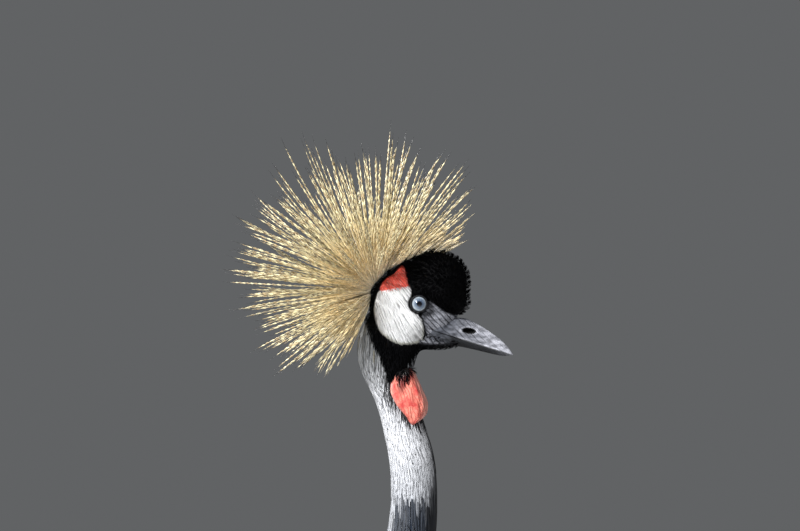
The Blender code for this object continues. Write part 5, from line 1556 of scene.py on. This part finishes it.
# The wings' own body, under its feathers: the stations it runs between, how deep it is at three of them,
# and its middle and how far it spreads to either side of that, in degrees round.
CORE_FROM, CORE_TO, CORE_LONG = 0.045, 0.82, 0.775
CORE_DEPTHS = ((0.0, 0.45, 0.82), (0.015, 0.015, 0.003))
CORE_MIDDLE, CORE_SPREAD = 66, 54
STATIONS_ASTRAY, DEGREES_ASTRAY = 0.006, 1.2


def vanes(name, tops, outs, vane, dyes):
    """One piece of closed, flat feathers from grids of places on their upper faces."""
    count, rows, columns = tops.shape[:3]
    points = np.stack([tops, tops - outs * THICKNESS], 1)
    top = np.arange(rows * columns).reshape(rows, columns)
    under = top + rows * columns
    faces = [np.stack([g[:-1, :-1], g[:-1, 1:], g[1:, 1:], g[1:, :-1]], -1).reshape(-1, 4)[:, ::way]
             for g, way in ((top, 1), (under, -1))]
    rim = np.r_[top[0, :-1], top[:-1, -1], top[-1, :0:-1], top[:0:-1, 0]]
    after = np.roll(rim, -1)
    faces.append(np.stack([after, rim, rim + rows * columns, after + rows * columns], -1))
    cells_across = math.ceil(math.sqrt(count))
    cell = np.stack([np.arange(count) % cells_across, np.arange(count) // cells_across], -1)[:, None, None]
    grid = np.stack(np.meshgrid(np.linspace(0.04, 0.96, columns), np.linspace(0.04, 0.96, rows)), -1)[None]
    spot, vane, dyes = (np.repeat(each[:, None], 2, 1) for each in ((cell + grid) / cells_across, vane, dyes))
    return joined(name, points, np.vstack(faces), vane, spot, dyes)


def outline_of(form, along):
    return np.interp(along, [t for t, _ in form], [w for _, w in form])


for sign, label in SIDES:
    rings = []
    for share in np.linspace(CORE_FROM, CORE_TO, 34):
        swell = (share - CORE_FROM) / CORE_LONG
        middle = CORE_MIDDLE - 10 * share
        spread = CORE_SPREAD * math.sin(math.pi * (swell * 9 + 1.0) / 11.4) ** 0.45
        deep = float(np.interp(share, *CORE_DEPTHS))
        offsets = np.linspace(-1, 1, 21)
        outer = on_wings(share, sign * (middle + spread * offsets), 0.0008 * (1 - offsets**4))
        under = -deep * (1 - offsets**6) - 0.0012
        inner = on_wings(share, sign * (middle + spread * offsets[::-1]), under)
        rings.append(np.vstack([outer, inner]))
    core = shell(f"wing_{label}_body", rings)
    paint(core.data, np.tile(np.array(COVERT_WHITE[0]) * 0.5, (len(core.data.vertices), 1)))
    core.data.uv_layers.new(name="vane")
    clothe(core, covert, "wing_plumage", f"wing_{label}")
    draw = np.random.default_rng(91)
    for (tier, rows, across, first, last, long, (near, far), droop, half, lift, form, (root_dye, tip_dye),
         varying, finish) in WING_TIERS:
        starts, thetas, tops_lift = [], [], []
        for row in range(rows):
            for i in range(across):
                shift = 0.5 * (row % 2)
                thetas.append(near + (far - near) * (i + shift) / (across - 0.5))
                starts.append(first + (last - first) * row / max(rows - 1, 1))
                risen = lift + 0.55 * (rows - 1 - row) + 0.35 * (across - 1 - i) / across * 3
                tops_lift.append(risen * MM)
        starts, thetas, tops_lift = (np.array(v)[:, None, None] for v in (starts, thetas, tops_lift))
        count = len(starts)
        starts = starts + draw.uniform(-STATIONS_ASTRAY, STATIONS_ASTRAY, starts.shape)
        thetas = thetas + draw.uniform(-DEGREES_ASTRAY, DEGREES_ASTRAY, thetas.shape)
        stretch_by = draw.uniform(0.92, 1.04, starts.shape)
        t = np.linspace(0, 1, ALONG_STEPS)[None, :, None]
        s = np.linspace(-1, 1, ACROSS_STEPS)[None, None, :]
        station = np.minimum(starts + long * stretch_by * t, 1.0)
        middle = thetas * (1 - 0.25 * long * t) + droop * t
        notch = 1 - 0.10 * draw.random((count, ALONG_STEPS, 1)) * (np.abs(s) > 0.9)
        reach = half * MM * outline_of(form, t) * notch
        above, below = (on_wings(station, middle + turn, 0.0) for turn in (1, -1))
        girth = np.linalg.norm(above - below, axis=-1) / 2
        angle = middle + s * reach / np.maximum(girth, 1e-5)
        camber = 0.10 * half * (1 - s**2) * np.sqrt(outline_of(form, t))
        rise = -ROOT_SINK + (tops_lift + ROOT_SINK) * t**0.8 + camber * MM + 0.5 * MM * s
        tops = on_wings(station, sign * angle, rise)
        outs = unit(on_wings(station, sign * angle, rise + 0.01) - tops)
        measure = long * stretch_by * WING_LENGTH / MM
        vane = np.stack(np.broadcast_arrays(s * reach / MM, t * measure), -1)
        root_dye, tip_dye = np.array(root_dye), np.array(tip_dye)
        dyes = root_dye + (tip_dye - root_dye) * np.broadcast_to(t, reach.shape)[..., None]
        fringe = 0.75 * (1 - ramp(starts, 0.03, 0.07))[..., None] * draw.random((count, 1, 1, 1))
        dyes = dyes + (np.array(BODY_SLATE) - dyes) * fringe
        dyes = dyes * (1 + draw.uniform(-varying, varying, (count, 1, 1, 1)))
        dyes = dyes * (1 + 0.10 * np.abs(s)[..., None] - 0.16 * np.clip(s, 0, 1)[..., None])
        piece = vanes(f"{tier}_{label}", tops, outs, vane, dyes)
        clothe(piece, finish, "wing_plumage", f"wing_{label}")

# The tail: twelve stiff black feathers stacked in a closed fan under the wing tips, the middle pair on top
# and each pair outside it a little lower and shorter.
TAIL_ROOT, TAIL_TIP = (-0.205, 0.482), (-0.418, 0.372)
TAIL_COUNT = 12
TAIL_HALF_WIDTH, TAIL_LONG = 14.5 * MM, 240.0
# Metres apart at the roots and how much farther apart at the tips, and metres that each lies lower there.
ROOTS_APART, TIPS_APART = 0.0042, 0.0088
ROOTS_LOWER, TIPS_LOWER = 0.0018, 0.0024
root_x, root_z = TAIL_ROOT
slope = np.array([TAIL_TIP[0] - root_x, 0.0, TAIL_TIP[1] - root_z])
below = unit(np.array([slope[2], 0.0, -slope[0]]))
t = np.linspace(0, 1, ALONG_STEPS)[None, :, None, None]
s = np.linspace(-1, 1, ACROSS_STEPS)[None, None, :, None]
place = (np.arange(TAIL_COUNT) - (TAIL_COUNT - 1) / 2)[:, None, None, None] * 0.75
middle_root = np.array([root_x + BODY_X, 0, root_z])
start = middle_root + place * [0, ROOTS_APART, 0] + below * (np.abs(place) * ROOTS_LOWER - 0.0030)
end = start + slope * (1 - 0.012 * np.abs(place) ** 1.5) + place * [0, TIPS_APART, 0]
end = end + below * np.abs(place) * TIPS_LOWER
run = unit(end - start)
across = unit(np.array([0, 1.0, 0]) - run * run[..., 1:2])
out = np.cross(run, across)
reach = TAIL_HALF_WIDTH * outline_of(BROAD, t[..., 0])[..., None]
arched = out * (0.6 * MM * (1 - s**2) + 0.7 * MM * s * np.sign(place))
tops = start + (end - start) * t + across * reach * s + arched
tops = np.broadcast_to(tops, (TAIL_COUNT, ALONG_STEPS, ACROSS_STEPS, 3))
outs = np.broadcast_to(out, tops.shape)
outs = outs * np.sign(outs[..., 2:])
vane = np.stack(np.broadcast_arrays(s[..., 0] * reach[..., 0] / MM, t[..., 0] * TAIL_LONG), -1)
vane = np.broadcast_to(vane, (TAIL_COUNT, ALONG_STEPS, ACROSS_STEPS, 2))
draw = np.random.default_rng(95)
dyes = np.array(PRIMARY_BLACK[0]) * np.ones(tops.shape) * draw.uniform(0.8, 1.2, (TAIL_COUNT, 1, 1, 1))
clothe(vanes("tail_feathers", tops, outs, vane, dyes), quill, "tail_plumage", "tail")

# The legs and feet: bare black skin with broad scutes down the front and the tops of the toes, small scales
# at the back, a knobbed hock and four toes with blunt claws, on flat soles.
STANCE = 0.046
HOCK_Z = 0.222
LEG_ROWS = (
    # x from the foot, z, radius
    (0.0, 0.010, 0.0064), (-0.002, 0.045, 0.0054), (-0.010, 0.120, 0.0052), (-0.018, 0.190, 0.0062),
    (-0.022, HOCK_Z - 0.012, 0.0090), (-0.022, HOCK_Z + 0.004, 0.0098), (-0.019, HOCK_Z + 0.024, 0.0074),
    (-0.011, 0.280, 0.0064), (-0.002, THIGH_END_Z + 0.012, 0.0078),
)
TOES = {
    # turn from straight ahead towards the mid-plane, length without the claw, radius
    "middle": (0, 0.078, 0.0052), "inner": (30, 0.056, 0.0047), "outer": (-33, 0.062, 0.0047),
    "hind": (172, 0.034, 0.0044),
}
TOE_HEIGHT = 0.0042
CLAW_LENGTH = 0.0125
CLAW_SHAPE = (
    # how far along the claw, its share of the thickness, how far it has sunk towards the floor
    (-0.10, 0.95, 0.0), (0.0, 1.0, 0.0), (0.35, 0.82, 0.06), (0.7, 0.52, 0.42), (1.0, 0.10, 1.0),
)
ANKLE_ROWS = (
    # z, radius
    (0.0006, 0.0072), (0.004, 0.0092), (0.0105, 0.0098), (0.017, 0.0086), (0.0225, 0.0056),
)
OVER_FLOOR = 0.0001
SCUTE, TOE_SCUTE = 5.2 * MM, 3.4 * MM
SCUTE_RISE, TOE_SCUTE_RISE = 0.00045, 0.0003

scaly, tree, shader = new_finish("scaly leg", 0.5, Specular_IOR_Level=0.4)
seam = ranged(tree, cells(tree, 420.0, feature="DISTANCE_TO_EDGE"), 0.0, 0.12, 0.0, 1.0)
dusty = ranged(tree, clouds(tree, 85.0, 4.0), 0.45, 0.75, 0.0, 0.6)
tone = blend_colours(tree, seam, (0.010, 0.010, 0.011, 1.0), (0.034, 0.034, 0.038, 1.0))
dyed(tree, shader, blend_colours(tree, dusty, tone, (0.085, 0.080, 0.075, 1.0)))
bump(tree, shader, seam, 0.6, 0.0003)

claw_horn, tree, shader = new_finish("claw horn", 0.35)
grain = clouds(tree, 500.0, 3.0)
dyed(tree, shader, blend_colours(tree, grain, (0.012, 0.012, 0.013, 1.0), (0.060, 0.055, 0.050, 1.0)))
bump(tree, shader, grain, 0.3, 0.0001)


def scuted(rings, spacing, rise, front):
    """Raises overlapping plates along one side of a limb, given the way that side faces."""
    rings = np.asarray(rings)
    middle = rings.mean(1, keepdims=True)
    away = unit(rings - middle)
    run = np.r_[0.0, np.cumsum(np.linalg.norm(np.diff(middle[:, 0], axis=0), axis=1))]
    saw = (run / spacing) % 1.0
    facing = ramp((away * front).sum(-1), 0.15, 0.75)
    return rings + away * (rise * (0.2 + 0.8 * saw)[:, None] * facing)[..., None]


AHEAD, UPWARD = np.array([1.0, 0, 0]), np.array([0, 0, 1.0])
for sign, label in SIDES:
    y = STANCE * sign
    rows = smooth_rows([(BODY_X + FOOT_X + x, y, z, r) for x, z, r in LEG_ROWS], 42)
    rings = scuted(rings_on_limb(rows, 28), SCUTE, SCUTE_RISE, AHEAD)
    clothe(shell(f"leg_{label}_skin", rings), scaly, "leg_skin", f"leg_{label}")
    ankle = smooth_rows([(BODY_X + FOOT_X, y, z, r) for z, r in ANKLE_ROWS], 6)
    ankle_rings = scuted(rings_on_limb(ankle, 28), TOE_SCUTE, TOE_SCUTE_RISE, AHEAD)
    parts = [shell(f"foot_{label}_skin", ankle_rings)]
    for toe, (turn, long, radius) in TOES.items():
        a = math.radians(-turn * sign)
        ahead = np.array([math.cos(a), math.sin(a), 0.0])
        start = np.array([BODY_X + FOOT_X, y, 0.0])
        rows = []
        for share in np.linspace(0, 1, 7):
            swell = 1 + 0.07 * math.cos(3 * math.tau * share)
            rise = 0.006 * max(0.0, 1 - share / 0.3)
            place = start + ahead * long * share
            height = TOE_HEIGHT * (1 - 0.22 * share) + rise
            rows.append((*place[:2], height, radius * swell * (1 - 0.30 * share)))
        rings = scuted(rings_on_limb(smooth_rows(rows, 14), 24), TOE_SCUTE, TOE_SCUTE_RISE, UPWARD)
        rings[..., 2] = np.maximum(rings[..., 2], 0.0)
        parts.append(shell("toe", rings))
        base = radius * 0.62
        rows = []
        for share, size, sink in CLAW_SHAPE:
            place = start + ahead * (long + 0.0003 + CLAW_LENGTH * share)
            height = TOE_HEIGHT * 0.78 * (1 - sink) + (0.12 * base + OVER_FLOOR) * sink
            rows.append((*place[:2], max(height, size * base + OVER_FLOOR), size * base))
        claw = shell(f"claw_{label}_{toe}_horn", rings_on_limb(smooth_rows(rows, 6), 20))
        clothe(claw, claw_horn, "claw", f"claw_{label}_{toe}")
    foot = parts[0]
    with bpy.context.temp_override(active_object=foot, selected_editable_objects=parts):
        bpy.ops.object.join()
    clothe(foot, scaly, "leg_skin", f"foot_{label}")

# The floor: a plain pale sheet, smooth and very faintly clouded, wide enough to stand under the bird from
# every side.
bpy.ops.mesh.primitive_plane_add(size=9.0, location=(0, 0, 0))
floor = bpy.context.object
floor.name = "floor"
pale_floor, tree, shader = new_finish("pale floor", 0.7)
cloud = clouds(tree, 3.0, 4.0)
dyed(tree, shader, blend_colours(tree, cloud, (0.40, 0.40, 0.395, 1.0), (0.44, 0.44, 0.435, 1.0)))
floor.data.materials.append(pale_floor)

# The light: a plain grey room with one large soft lamp up on the camera's side, towards the bird's tail,
# one behind for the rim, and a weak one opposite that leaves no mark on wet or glossy things.
room = bpy.data.worlds.new("room")
bpy.context.scene.world = room
room.use_nodes = True
background = room.node_tree.nodes["Background"].inputs
background["Color"].default_value = (0.120, 0.124, 0.128, 1.0)
background["Strength"].default_value = 1.0
LAMPS = (
    # name, place from the head, watts, size
    ("key", (-1.60, -1.75, 1.45), 165.0, 0.80),
    ("fill", (1.9, -1.6, 0.1), 12.0, 1.6),
    ("rim", (-1.6, 1.4, 0.9), 60.0, 0.9),
)
for name, place, watts, size in LAMPS:
    lamp_data = bpy.data.lights.new(name, "AREA")
    lamp_data.energy = watts
    lamp_data.size = size
    lamp = bpy.data.objects.new(name, lamp_data)
    bpy.context.scene.collection.objects.link(lamp)
    lamp.visible_glossy = name != "fill"
    lamp.location = EYE + Vector(place)
    lamp.rotation_euler = (-Vector(place)).to_track_quat("-Z", "Y").to_euler()

# The camera: level with the head, square on to the bird's right side, at the photograph's framing.
PICTURE_WIDTH = 0.720
CAMERA_AWAY = 6.0
EYE_IN_PICTURE = Vector((-0.0168, 0.0, 0.0344))
camera_data = bpy.data.cameras.new("camera")
camera_data.sensor_width = 36.0
camera_data.lens = camera_data.sensor_width * CAMERA_AWAY / PICTURE_WIDTH
camera = bpy.data.objects.new("camera", camera_data)
bpy.context.scene.collection.objects.link(camera)
camera.location = EYE + EYE_IN_PICTURE + Vector((0, -CAMERA_AWAY, 0))
camera.rotation_euler = (math.radians(90), 0, 0)
bpy.context.scene.camera = camera

bpy.context.scene.view_settings.view_transform = "Standard"

bpy.context.view_layer.update()
